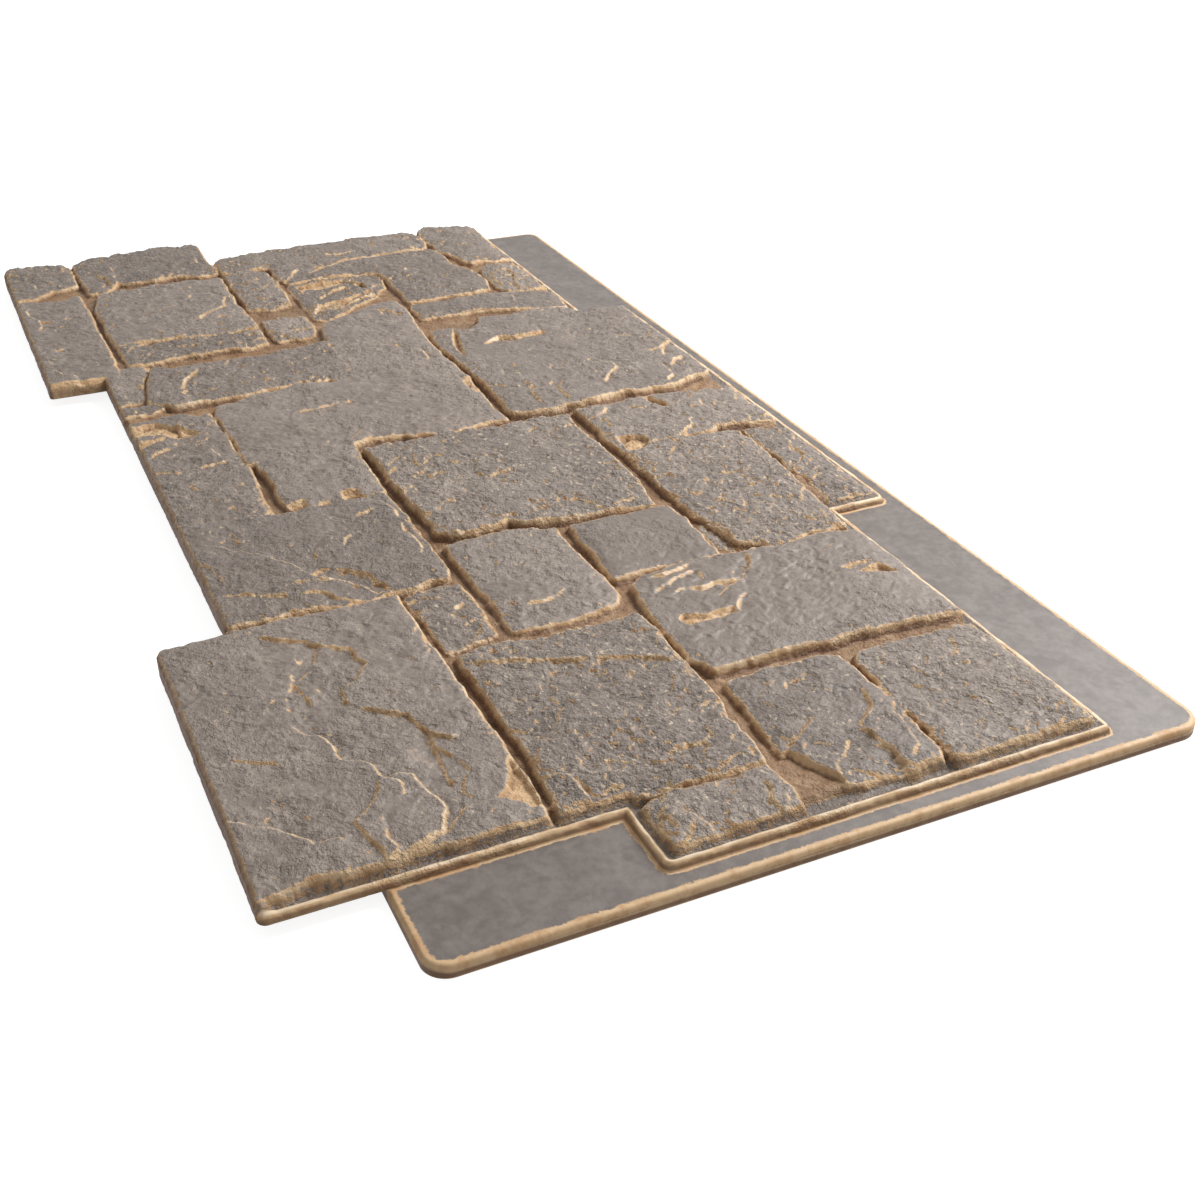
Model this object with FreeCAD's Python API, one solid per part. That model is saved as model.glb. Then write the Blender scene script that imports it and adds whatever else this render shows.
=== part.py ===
import FreeCAD, Part
import math
import os

# Faux stone wall panel, moulded in one piece: a thin lap flange on the near end and the right side,
# and a thicker field of squared stones with stepped edges that key into the next panel. The field
# overhangs on the far end and the left side, so that its keys lie on the next panel's flange.
# Millimetres. +X runs along the panel to the flanged near end, +Y across it to the flanged right
# side, +Z out of the stone face. The panel lies on its back, with the origin under its middle.

# Coverage: what one panel adds to a run, from lip to stone edge
coverage_length = 1151.0
coverage_width = 559.0

# Stepped edges: how far the keys stand out at the ends and at the sides
end_key_depth = 54.0
side_key_depth = 51.5
key_clearance = 3.0

# Lap flange: what shows past the outermost lip, how far it stops short of the corner, its corners
flange_thickness = 9.5
flange_lap = 16.5
flange_setback = 22.0
flange_near_right_radius = 20.0
flange_near_left_radius = 16.0
flange_far_right_radius = 14.0
flange_edge_radius = 3.0

# Field: the levels of the joints and of the ledge, and the rim that closes it on the flanged sides
joint_floor = 18.0
ledge_floor = 12.0
lip_height = 15.0
lip_width = 5.0
lip_edge_radius = 1.5
ledge_width = 9.0
ledge_slope = 3.0
field_corner_radius = 7.0

# Stones: how far a stone is rooted in the ledge's level, the flat left there between two feet, how
# far a stone's face is set in from a plain outer edge, and its worn arris
stone_root = 1.0
joint_flat = 3.0
plain_edge_inset = 6.0
plain_edge_foot = 1.0
arris_drop = 3.5
arris_share = 0.6

# Two edges count as level when they are this close
level_tolerance = 0.01

# Head joints cross the panel. Each has its place, in hundredths of the coverage length from the far
# stone edge, and its width at the stones' faces.
head_joints = {
    "far key": (6.1, 24.0),
    "far crack": (7.3, 14.0),
    "far perpend": (13.1, 24.0),
    "low course": (18.8, 26.0),
    "narrow stone": (22.1, 15.0),
    "far step": (27.8, 24.0),
    "chipped stone": (36.4, 20.0),
    "small stone": (48.5, 8.0),
    "long perpend": (48.8, 30.0),
    "left perpend": (57.0, 12.0),
    "right perpend": (57.8, 16.0),
    "centre stone": (66.5, 13.0),
    "near step": (70.9, 15.0),
    "square stone": (75.0, 15.0),
    "veined stone": (78.4, 22.0),
    "corner stones": (87.5, 24.0),
    "near ledge stone": (94.7, 13.0),
}

# Bed joints run along the panel. Each has its place, in hundredths of the coverage width from the
# left stone edge, and its width at the stones' faces.
bed_joints = {
    "left course": (13.0, 16.0),
    "under chipped": (16.3, 10.0),
    "low bed": (23.2, 14.0),
    "left bed": (31.6, 14.0),
    "end step": (39.6, 13.0),
    "middle bed": (40.9, 16.0),
    "course bed": (48.9, 14.0),
    "near bed": (59.3, 16.0),
    "far bed": (67.2, 18.0),
    "upper bed": (76.7, 16.0),
    "corner bed": (77.4, 12.0),
    "right bed": (85.4, 16.0),
    "cap bed": (98.9, 10.0),
}

overall_length = coverage_length + end_key_depth + flange_lap
overall_width = coverage_width + side_key_depth + flange_lap

# Where the edges of the field stand, lengthwise
flange_near_x = overall_length / 2
near_key_x = flange_near_x - flange_lap
near_notch_x = near_key_x - end_key_depth
far_key_x = -overall_length / 2
far_notch_x = far_key_x + end_key_depth

# And crosswise
flange_right_y = overall_width / 2
right_key_y = flange_right_y - flange_lap
right_notch_y = right_key_y - side_key_depth
left_key_y = -overall_width / 2
left_notch_y = left_key_y + side_key_depth


def head_x(name):
    """Place of a head joint along the panel."""
    return far_notch_x + head_joints[name][0] / 100 * coverage_length


def bed_y(name):
    """Place of a bed joint across the panel."""
    return left_key_y + bed_joints[name][0] / 100 * coverage_width


# The steps of the outline follow three of the joints; a notch is wider than its key by the clearance
side_key_far_x = head_x("far step")
side_key_near_x = head_x("near step")
end_step_y = bed_y("end step")

# Stones: the joints or edges on the far, near, left and right of each, and the level of its face
stones = [
    ("far key upper", "far key edge", "far key", "left course", "end step", 25.0),
    ("far key lower", "far key edge", "far key", "left key edge", "left course", 23.0),
    ("left far", "far key", "narrow stone", "left course", "end step", 27.0),
    ("left far pillar", "narrow stone", "far step", "left course", "end step", 24.0),
    ("left low", "far key", "far step edge", "left key edge", "left course", 23.0),
    ("far end", "far notch edge", "far crack", "end step", "right bed", 26.0),
    ("far cap", "far notch edge", "far perpend", "right bed", "right notch edge", 25.0),
    ("far chips", "far crack", "far perpend", "course bed", "far bed", 20.0),
    ("far wedge", "far perpend", "low course", "course bed", "far bed", 23.0),
    ("low strip far", "far crack", "low course", "end step", "course bed", 24.0),
    ("low strip near", "low course", "far step", "end step", "course bed", 22.0),
    ("far slab", "far crack", "narrow stone", "far bed", "right bed", 27.0),
    ("far small cap", "far perpend", "narrow stone", "right bed", "right notch edge", 24.0),
    ("narrow stone", "narrow stone", "far step", "far bed", "right notch edge", 24.0),
    ("long stone", "low course", "long perpend", "course bed", "far bed", 27.0),
    ("top slab", "far step", "long perpend", "far bed", "right key edge", 29.0),
    ("chipped stone", "far step", "chipped stone", "under chipped", "course bed", 27.0),
    ("under chipped", "far step", "chipped stone", "left notch edge", "under chipped", 22.0),
    ("long stone leg", "chipped stone", "small stone", "low bed", "course bed", 27.0),
    ("long stone heel", "chipped stone", "long perpend", "middle bed", "far bed", 27.0),
    ("low middle", "chipped stone", "left perpend", "left notch edge", "low bed", 24.0),
    ("small stone", "small stone", "left perpend", "low bed", "middle bed", 25.0),
    ("tall stone", "left perpend", "near step", "left notch edge", "middle bed", 26.0),
    ("centre square", "long perpend", "centre stone", "middle bed", "upper bed", 27.0),
    ("centre upper", "long perpend", "right perpend", "upper bed", "right key edge", 27.0),
    ("cap strip", "right perpend", "near step edge", "cap bed", "right key edge", 22.0),
    ("upper slab", "right perpend", "square stone", "upper bed", "cap bed", 26.0),
    ("small upper", "centre stone", "square stone", "near bed", "upper bed", 26.0),
    ("small lower", "centre stone", "veined stone", "middle bed", "near bed", 25.0),
    ("wedge stone", "near step", "veined stone", "left bed", "middle bed", 22.0),
    ("square stone", "square stone", "corner stones", "near bed", "right notch edge", 27.0),
    ("corner upper", "corner stones", "near key edge", "corner bed", "right notch edge", 26.0),
    ("corner lower", "corner stones", "near key edge", "near bed", "corner bed", 25.0),
    ("veined stone", "veined stone", "near ledge stone", "left bed", "near bed", 27.0),
    ("ledge stone", "near ledge stone", "near key edge", "end step edge", "near bed", 24.0),
    ("near slab", "near step", "near notch edge", "left key edge", "left bed", 27.0),
]

# Outer edges a stone can end at. A plain edge drops straight to the floor; a lipped edge has the rim
# and its ledge in front of the stone. Each holds its place and whether it is lipped.
outer_edges = {
    "far key edge": (far_key_x, False),
    "far notch edge": (far_notch_x, False),
    "far step edge": (side_key_far_x - key_clearance, False),
    "near key edge": (near_key_x, True),
    "near notch edge": (near_notch_x, True),
    "near step edge": (side_key_near_x, True),
    "left key edge": (left_key_y, False),
    "left notch edge": (left_notch_y, False),
    "right key edge": (right_key_y, True),
    "right notch edge": (right_notch_y, True),
    "end step edge": (end_step_y + key_clearance, True),
}


def rounded_wire(points, radii, level):
    """Closed outline of straight runs, with a tangent arc of the given radius at each corner."""
    count = len(points)
    edges = []
    starts = []
    ends = []
    for index in range(count):
        corner = FreeCAD.Vector(points[index][0], points[index][1], level)
        before = FreeCAD.Vector(points[index - 1][0], points[index - 1][1], level)
        after = FreeCAD.Vector(points[(index + 1) % count][0], points[(index + 1) % count][1], level)
        to_before = (before - corner).normalize()
        to_after = (after - corner).normalize()
        half_angle = to_before.getAngle(to_after) / 2
        reach = radii[index] / math.tan(half_angle)
        bisector = (to_before + to_after).normalize()
        middle = corner + bisector * (radii[index] / math.sin(half_angle) - radii[index])
        starts.append(corner + to_before * reach)
        ends.append(corner + to_after * reach)
        edges.append(Part.Arc(starts[-1], middle, ends[-1]).toShape())
    outline = []
    for index in range(count):
        outline.append(edges[index])
        outline.append(Part.makeLine(ends[index], starts[(index + 1) % count]))
    return Part.Wire(outline)


def prism(wire, height):
    """Straight solid standing on a closed outline."""
    return Part.Face(wire).extrude(FreeCAD.Vector(0, 0, height))


def edges_at(solid, level):
    """Edges of a solid that lie flat at one level."""
    found = []
    for edge in solid.Edges:
        box = edge.BoundBox
        if abs(box.ZMin - level) < level_tolerance and abs(box.ZMax - level) < level_tolerance:
            found.append(edge)
    return found


def field_points(plain_out, lip_in):
    """Stepped outline of the field. Plain edges move out, lipped edges move in."""
    notch_far_x = side_key_far_x - key_clearance + plain_out
    notch_near_x = side_key_near_x + key_clearance - plain_out
    key_far_x = side_key_far_x + lip_in
    key_near_x = side_key_near_x - lip_in
    far_step_y = end_step_y + plain_out
    near_step_y = end_step_y + key_clearance + lip_in
    return [
        (far_key_x - plain_out, left_key_y - plain_out),
        (notch_far_x, left_key_y - plain_out),
        (notch_far_x, left_notch_y - plain_out),
        (notch_near_x, left_notch_y - plain_out),
        (notch_near_x, left_key_y - plain_out),
        (near_notch_x - lip_in, left_key_y - plain_out),
        (near_notch_x - lip_in, near_step_y),
        (near_key_x - lip_in, near_step_y),
        (near_key_x - lip_in, right_notch_y - lip_in),
        (key_near_x, right_notch_y - lip_in),
        (key_near_x, right_key_y - lip_in),
        (key_far_x, right_key_y - lip_in),
        (key_far_x, right_notch_y - lip_in),
        (far_notch_x - plain_out, right_notch_y - lip_in),
        (far_notch_x - plain_out, far_step_y),
        (far_key_x - plain_out, far_step_y),
    ]


def field_prism(plain_out, lip_in, radius, low, high):
    """Straight solid over the field's outline, between two levels."""
    points = field_points(plain_out, lip_in)
    return prism(rounded_wire(points, [radius] * len(points), low), high - low)


def make_flange():
    """Thin sheet under the field that shows past it on two sides, where its top edge is worn round."""
    far_x = far_notch_x + flange_setback
    left_y = left_notch_y + flange_setback
    points = [(far_x, left_y), (flange_near_x, left_y), (flange_near_x, flange_right_y), (far_x, flange_right_y)]
    radii = [
        flange_far_right_radius,
        flange_near_left_radius,
        flange_near_right_radius,
        flange_far_right_radius,
    ]
    sheet = prism(rounded_wire(points, radii, 0), flange_thickness)
    covered = sheet.common(field_prism(0, 0, field_corner_radius, 0, flange_thickness))
    return sheet.makeFillet(flange_edge_radius, edges_at(sheet, flange_thickness)).fuse(covered)


def make_tray():
    """The field without its stones: a bed at joint level, and the ledge and lip on the flanged sides."""
    plate = field_prism(0, 0, field_corner_radius, flange_thickness, lip_height)
    plate = plate.makeFillet(lip_edge_radius, edges_at(plate, lip_height))
    inner_radius = field_corner_radius - lip_width
    hollow = field_prism(ledge_width, lip_width, inner_radius, ledge_floor, joint_floor)
    bed = field_prism(0, lip_width + ledge_width - ledge_slope, inner_radius, flange_thickness, joint_floor)
    return plate.cut(hollow).fuse(bed)


def stone_side(name, joints, place, towards):
    """Foot and face line of one side of a stone; towards is +1 where the stone lies past the line."""
    if name in joints:
        width = joints[name][1]
        return place(name) + towards * joint_flat / 2, place(name) + towards * width / 2
    edge, lipped = outer_edges[name]
    if lipped:
        foot = edge + towards * (lip_width + joint_flat / 2)
        return foot, edge + towards * (lip_width + ledge_width)
    return edge + towards * plain_edge_foot, edge + towards * plain_edge_inset


def rectangle(far, near, left, right, level):
    """Closed rectangular outline at one level."""
    corners = [(far, left), (near, left), (near, right), (far, right), (far, left)]
    return Part.makePolygon([FreeCAD.Vector(x, y, level) for x, y in corners])


def make_stone(far, near, left, right, face):
    """One stone, rising from its foot in the bed over a worn arris to its face."""
    far_foot, far_face = stone_side(far, head_joints, head_x, 1)
    near_foot, near_face = stone_side(near, head_joints, head_x, -1)
    left_foot, left_face = stone_side(left, bed_joints, bed_y, 1)
    right_foot, right_face = stone_side(right, bed_joints, bed_y, -1)
    foot = (far_foot, near_foot, left_foot, right_foot)
    top = (far_face, near_face, left_face, right_face)
    shoulder = [low + (high - low) * arris_share for low, high in zip(foot, top)]
    base = rectangle(*foot, ledge_floor - stone_root)
    waist = rectangle(*shoulder, face - arris_drop)
    crown = rectangle(*top, face)
    return Part.makeLoft([base, waist, crown], True, True)


def make_panel():
    """The whole moulding as one solid."""
    panel = make_tray().fuse(make_flange())
    blocks = [make_stone(*stone[1:]) for stone in stones]
    return panel.multiFuse(blocks).removeSplitter()


os.makedirs("parts", exist_ok=True)
panel = make_panel()
panel.exportStep("parts/stone_panel.step")
print("solids", len(panel.Solids), "valid", panel.isValid(), "volume cm3", round(panel.Volume / 1000))
print("box", panel.BoundBox)
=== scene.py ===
import logging
from dataclasses import dataclass
from enum import Enum

import bpy
import numpy as np
from mathutils import Matrix


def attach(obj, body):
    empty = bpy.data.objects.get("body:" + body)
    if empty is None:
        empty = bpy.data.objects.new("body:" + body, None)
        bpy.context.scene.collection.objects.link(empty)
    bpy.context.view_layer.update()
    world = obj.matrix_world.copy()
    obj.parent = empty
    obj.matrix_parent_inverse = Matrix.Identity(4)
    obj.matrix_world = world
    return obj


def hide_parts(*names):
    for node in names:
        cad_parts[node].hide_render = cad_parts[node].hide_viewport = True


# Faux stone wall panel, dressed as one moulding: squared stones with a cleft face, the joints
# between them, the lip and the thin lap flange. Shapes are worked out in the part's millimetres
# and put into the meshes in metres. +X runs to the flanged near end, +Y to the flanged right side,
# +Z up.

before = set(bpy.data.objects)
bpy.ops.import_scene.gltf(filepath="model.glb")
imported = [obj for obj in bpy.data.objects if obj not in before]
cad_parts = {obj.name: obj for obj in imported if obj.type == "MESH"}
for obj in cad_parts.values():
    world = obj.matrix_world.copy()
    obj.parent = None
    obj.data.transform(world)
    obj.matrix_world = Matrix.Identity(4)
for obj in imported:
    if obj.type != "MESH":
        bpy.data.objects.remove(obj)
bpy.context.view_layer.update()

MM = 0.001
# How far outside the panel a closing side is drawn, so that it is never the nearest.
AWAY = 90.0
Points = tuple[tuple[float, float], ...]
Array = np.ndarray


class Zone(Enum):
    """The parts that the finish tells apart, as values of the vertex attribute zone."""

    FIELD = 0.0
    FLANGE = 1.0


@dataclass(frozen=True)
class Edges:
    """Where the panel's edges and levels stand, and how round its corners are, in millimetres."""

    far_key: float = -610.75
    far_notch: float = -556.75
    near_notch: float = 540.25
    near_key: float = 594.25
    left_key: float = -313.5
    left_notch: float = -262.0
    right_notch: float = 245.5
    right_key: float = 297.0
    far_step_y: float = -92.1
    near_step_y: float = -89.1
    left_step_far_x: float = -239.8
    left_step_near_x: float = 262.3
    right_step_far_x: float = -236.8
    right_step_near_x: float = 259.3
    flange_far: float = -534.75
    flange_near: float = 610.75
    flange_left: float = -240.0
    flange_right: float = 313.5
    flange_top: float = 9.5
    flange_round: float = 3.0
    joint_floor: float = 18.4
    ledge_floor: float = 13.8
    lip_top: float = 15.0
    highest: float = 28.9
    corner_radius: float = 7.0
    flange_right_radius: float = 20.0
    flange_left_radius: float = 16.0
    flange_far_radius: float = 14.0


EDGES = Edges()


@dataclass(frozen=True)
class Eye:
    """The photograph's viewpoint, in millimetres, and the directions of its picture."""

    place: tuple[float, float, float] = (1166.067, -412.583, 594.0)
    right: tuple[float, float, float] = (0.42909185, 0.90313618, 0.01500723)
    down: tuple[float, float, float] = (0.47534842, -0.21165421, -0.85395923)
    forward: tuple[float, float, float] = (-0.76806514, 0.37356061, -0.52012346)
    lens: float = 44.819
    reading_level: float = 25.0

    def onto(self, points: Points, level: float) -> Array:
        """Carries points read on the reading level along the sight lines to another level.

        Args:
            points: Corners as they look on the reading level, in millimetres.
            level: Height of the surface that really holds them.

        Returns:
            The corners' true places, one row each. By similar triangles, the distance from the
            eye's foot grows with the drop below the eye.
        """
        foot = np.array(self.place[:2])
        seen = np.array(points, dtype=float)
        stretch = (self.place[2] - level) / (self.place[2] - self.reading_level)
        return foot + (seen - foot) * stretch


EYE = Eye()


class Grain:
    """Seeded gradient noise on the plane, worked out for whole arrays."""

    def __init__(self, seed: int) -> None:
        """Draws the lattice's order and slopes from a seed."""
        draws = np.random.default_rng(seed)
        self.size = 1024
        self.order = draws.permutation(self.size)
        angles = draws.random(self.size) * 2 * np.pi
        self.slopes = np.stack([np.cos(angles), np.sin(angles)])

    def corner(self, column: Array, row: Array, across: Array, along: Array) -> Array:
        """Height that one lattice corner's slope gives at a point: slope times distance."""
        pick = self.order[(column + self.order[row % self.size]) % self.size]
        return self.slopes[0][pick] * across + self.slopes[1][pick] * along

    def once(self, x: Array, y: Array) -> Array:
        """Noise of one size, about -1 to 1: corner heights blended by a quintic fade."""
        column, row = np.floor(x).astype(int), np.floor(y).astype(int)
        u, v = x - column, y - row
        fade_u = u * u * u * (u * (u * 6 - 15) + 10)
        fade_v = v * v * v * (v * (v * 6 - 15) + 10)
        low = (
            self.corner(column, row, u, v) * (1 - fade_u)
            + self.corner(column + 1, row, u - 1, v) * fade_u
        )
        high = (
            self.corner(column, row + 1, u, v - 1) * (1 - fade_u)
            + self.corner(column + 1, row + 1, u - 1, v - 1) * fade_u
        )
        return 1.5 * (low * (1 - fade_v) + high * fade_v)

    def layered(self, x: Array, y: Array, size: float, octaves: int, gain: float = 0.5) -> Array:
        """Sum of octaves, each half the size of the last and turned a little.

        Args:
            x: Places along the panel, in millimetres.
            y: Places across the panel.
            size: Wavelength of the first octave, in millimetres.
            octaves: How many sizes are summed.
            gain: Share of the height that each octave keeps of the one before.

        Returns:
            Noise of about -1 to 1.
        """
        total = np.zeros_like(x)
        weight, span = 1.0, 0.0
        a, b = x / size, y / size
        for octave in range(octaves):
            total += weight * self.once(a + 17.3 * octave, b - 9.1 * octave)
            span += weight
            weight *= gain
            a, b = 1.6 * a + 1.2 * b, 1.6 * b - 1.2 * a
        return total / span * 1.35

    def ridged(self, x: Array, y: Array, size: float, octaves: int) -> Array:
        """Sharp crests where the noise crosses nought: one less twice the noise's size."""
        total = np.zeros_like(x)
        weight, span = 1.0, 0.0
        for octave in range(octaves):
            scale = size / 2**octave
            total += weight * (1 - 2 * np.abs(self.once(x / scale + 5.1 * octave, y / scale)))
            span += weight
            weight *= 0.55
        return total / span


GRAIN_EDGE = Grain(11)
GRAIN_SHAPE = Grain(23)
GRAIN_CLEFT = Grain(37)


@dataclass(frozen=True)
class Waves:
    """Height and first wavelength of one noise in millimetres, with its octaves and their gain."""

    height: float
    size: float
    octaves: int
    gain: float = 0.5

    def over(self, grain: Grain, x: Array, y: Array) -> Array:
        """The noise's heights at the given places: height times the grain's sum of octaves."""
        return self.height * grain.layered(x, y, self.size, self.octaves, self.gain)


@dataclass(frozen=True)
class Relief:
    """Every noise that shapes the panel or patches its paint.

    Fields:
        far_edge, left_edge, plain_edge: How far the worn edges wander, and their rounding.
        scarp_line, scarp_height, chip_line: How scarps wander and break, and how chips do.
        sheet, lip_line, lip_crest, ledge: The flange's face, and the lip and ledge beside it.
        bed_waves, bed_grit: The floor of the joints.
        wander, layers, swell, flakes, pits: The stones' cleft faces.
        stone_edge: How ragged a stone's outline is.
        patches: Where paint is rubbed off more, from nought to one rather than millimetres.
        wall: How far the outer walls are worn inward.
    """

    far_edge: Waves = Waves(0.9, 13.0, 2)
    left_edge: Waves = Waves(0.9, 26.0, 4)
    plain_edge: Waves = Waves(0.6, 8.0, 2)
    scarp_line: Waves = Waves(1.6, 11.0, 3)
    scarp_height: Waves = Waves(0.7, 17.0, 2)
    chip_line: Waves = Waves(1.2, 7.0, 3)
    sheet: Waves = Waves(0.12, 38.0, 3)
    lip_line: Waves = Waves(0.9, 16.0, 3)
    lip_crest: Waves = Waves(0.45, 17.0, 3)
    ledge: Waves = Waves(0.5, 9.0, 3)
    bed_waves: Waves = Waves(0.9, 15.0, 3)
    bed_grit: Waves = Waves(0.3, 4.0, 2)
    wander: Waves = Waves(7.0, 18.0, 4, 0.6)
    layers: Waves = Waves(3.0, 62.0, 4, 0.55)
    swell: Waves = Waves(0.9, 60.0, 3)
    flakes: Waves = Waves(3.0, 22.0, 3)
    pits: Waves = Waves(4.0, 9.0, 4, 0.65)
    stone_edge: Waves = Waves(2.0, 22.0, 3)
    patches: Waves = Waves(0.7, 19.0, 3)
    wall: Waves = Waves(0.5, 11.0, 3)


@dataclass(frozen=True)
class LipShape:
    """Section through the lip and the ledge, by distance in from the lip's outer edge.

    Fields:
        foot: Between which distances the lip's wall stands up from the flange.
        foot_height: How much of the lip's height it gains there, in millimetres.
        rise: Where the rounded rise to the crest starts, and how long it is.
        fall: Between which distances the lip falls to the ledge.
        bed: Between which distances the ledge gives way to the bed of the joints.
        closing: Between which distances from a plain edge the lip stops closing up to the field.
        closed_crest: How much higher the crest is where it is closed up.
        closed_valley: How much higher the ledge is there.
    """

    foot: tuple[float, float] = (-0.7, 0.5)
    foot_height: float = 2.2
    rise: tuple[float, float] = (0.3, 2.8)
    fall: tuple[float, float] = (3.6, 6.4)
    bed: tuple[float, float] = (13.0, 18.0)
    closing: tuple[float, float] = (4.0, 13.0)
    closed_crest: float = 1.2
    closed_valley: float = 5.5


RELIEF = Relief()
LIP = LipShape()


def smooth_step(value: Array, low: float, high: float) -> Array:
    """Nought below low, one above high, and a cubic between."""
    share = np.clip((value - low) / (high - low), 0, 1)
    return share * share * (3 - 2 * share)


def inside_distance(x: Array, y: Array, corners: Array) -> Array:
    """Distance to a closed outline, positive inside.

    Args:
        x: Places along the panel.
        y: Places across the panel.
        corners: The outline's corners, one row each.

    Returns:
        The least distance to any side. Its sign comes from how many sides a line towards +X
        crosses.
    """
    nearest = np.full(x.shape, 1e9)
    inside = np.zeros(x.shape, dtype=bool)
    for (ax, ay), (bx, by) in zip(corners, np.roll(corners, -1, axis=0)):
        dx, dy = bx - ax, by - ay
        share = np.clip(((x - ax) * dx + (y - ay) * dy) / (dx * dx + dy * dy), 0, 1)
        nearest = np.minimum(nearest, (x - ax - share * dx) ** 2 + (y - ay - share * dy) ** 2)
        if ay != by:
            crosses = ((ay > y) != (by > y)) & (x < ax + (y - ay) / (by - ay) * dx)
            inside ^= crosses
    return np.where(inside, 1.0, -1.0) * np.sqrt(nearest)


def line_distance(x: Array, y: Array, corners: Array) -> tuple[Array, Array]:
    """Distance to an open line, positive on its left, and how far along it the nearest point is.

    Args:
        x: Places along the panel.
        y: Places across the panel.
        corners: The line's points in order, one row each.

    Returns:
        The signed distance, and the length gone to the nearest end, both in millimetres.
    """
    nearest = np.full(x.shape, 1e9)
    signed = np.zeros_like(x)
    along = np.zeros_like(x)
    gone = 0.0
    for (ax, ay), (bx, by) in zip(corners[:-1], corners[1:]):
        dx, dy = bx - ax, by - ay
        length = float(np.hypot(dx, dy))
        share = np.clip(((x - ax) * dx + (y - ay) * dy) / length**2, 0, 1)
        away = np.hypot(x - ax - share * dx, y - ay - share * dy)
        side = np.sign(dx * (y - ay) - dy * (x - ax))
        closer = away < nearest
        nearest = np.where(closer, away, nearest)
        signed = np.where(closer, away * side, signed)
        along = np.where(closer, gone + share * length, along)
        gone += length
    return signed, np.minimum(along, gone - along)


@dataclass(frozen=True)
class Stone:
    """One stone: its face's level, how rough it is, and its outline on the reading level."""

    name: str
    level: float
    rough: float
    outline: Points


@dataclass(frozen=True)
class Scarp:
    """A line where the face steps: higher by step on the line's left, fading over reach."""

    step: float
    points: Points
    reach: float = 16.0


@dataclass(frozen=True)
class Chip:
    """A piece broken out of a face, down to depth, over an outline."""

    depth: float
    outline: Points
    bare: float = 1.0


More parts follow.
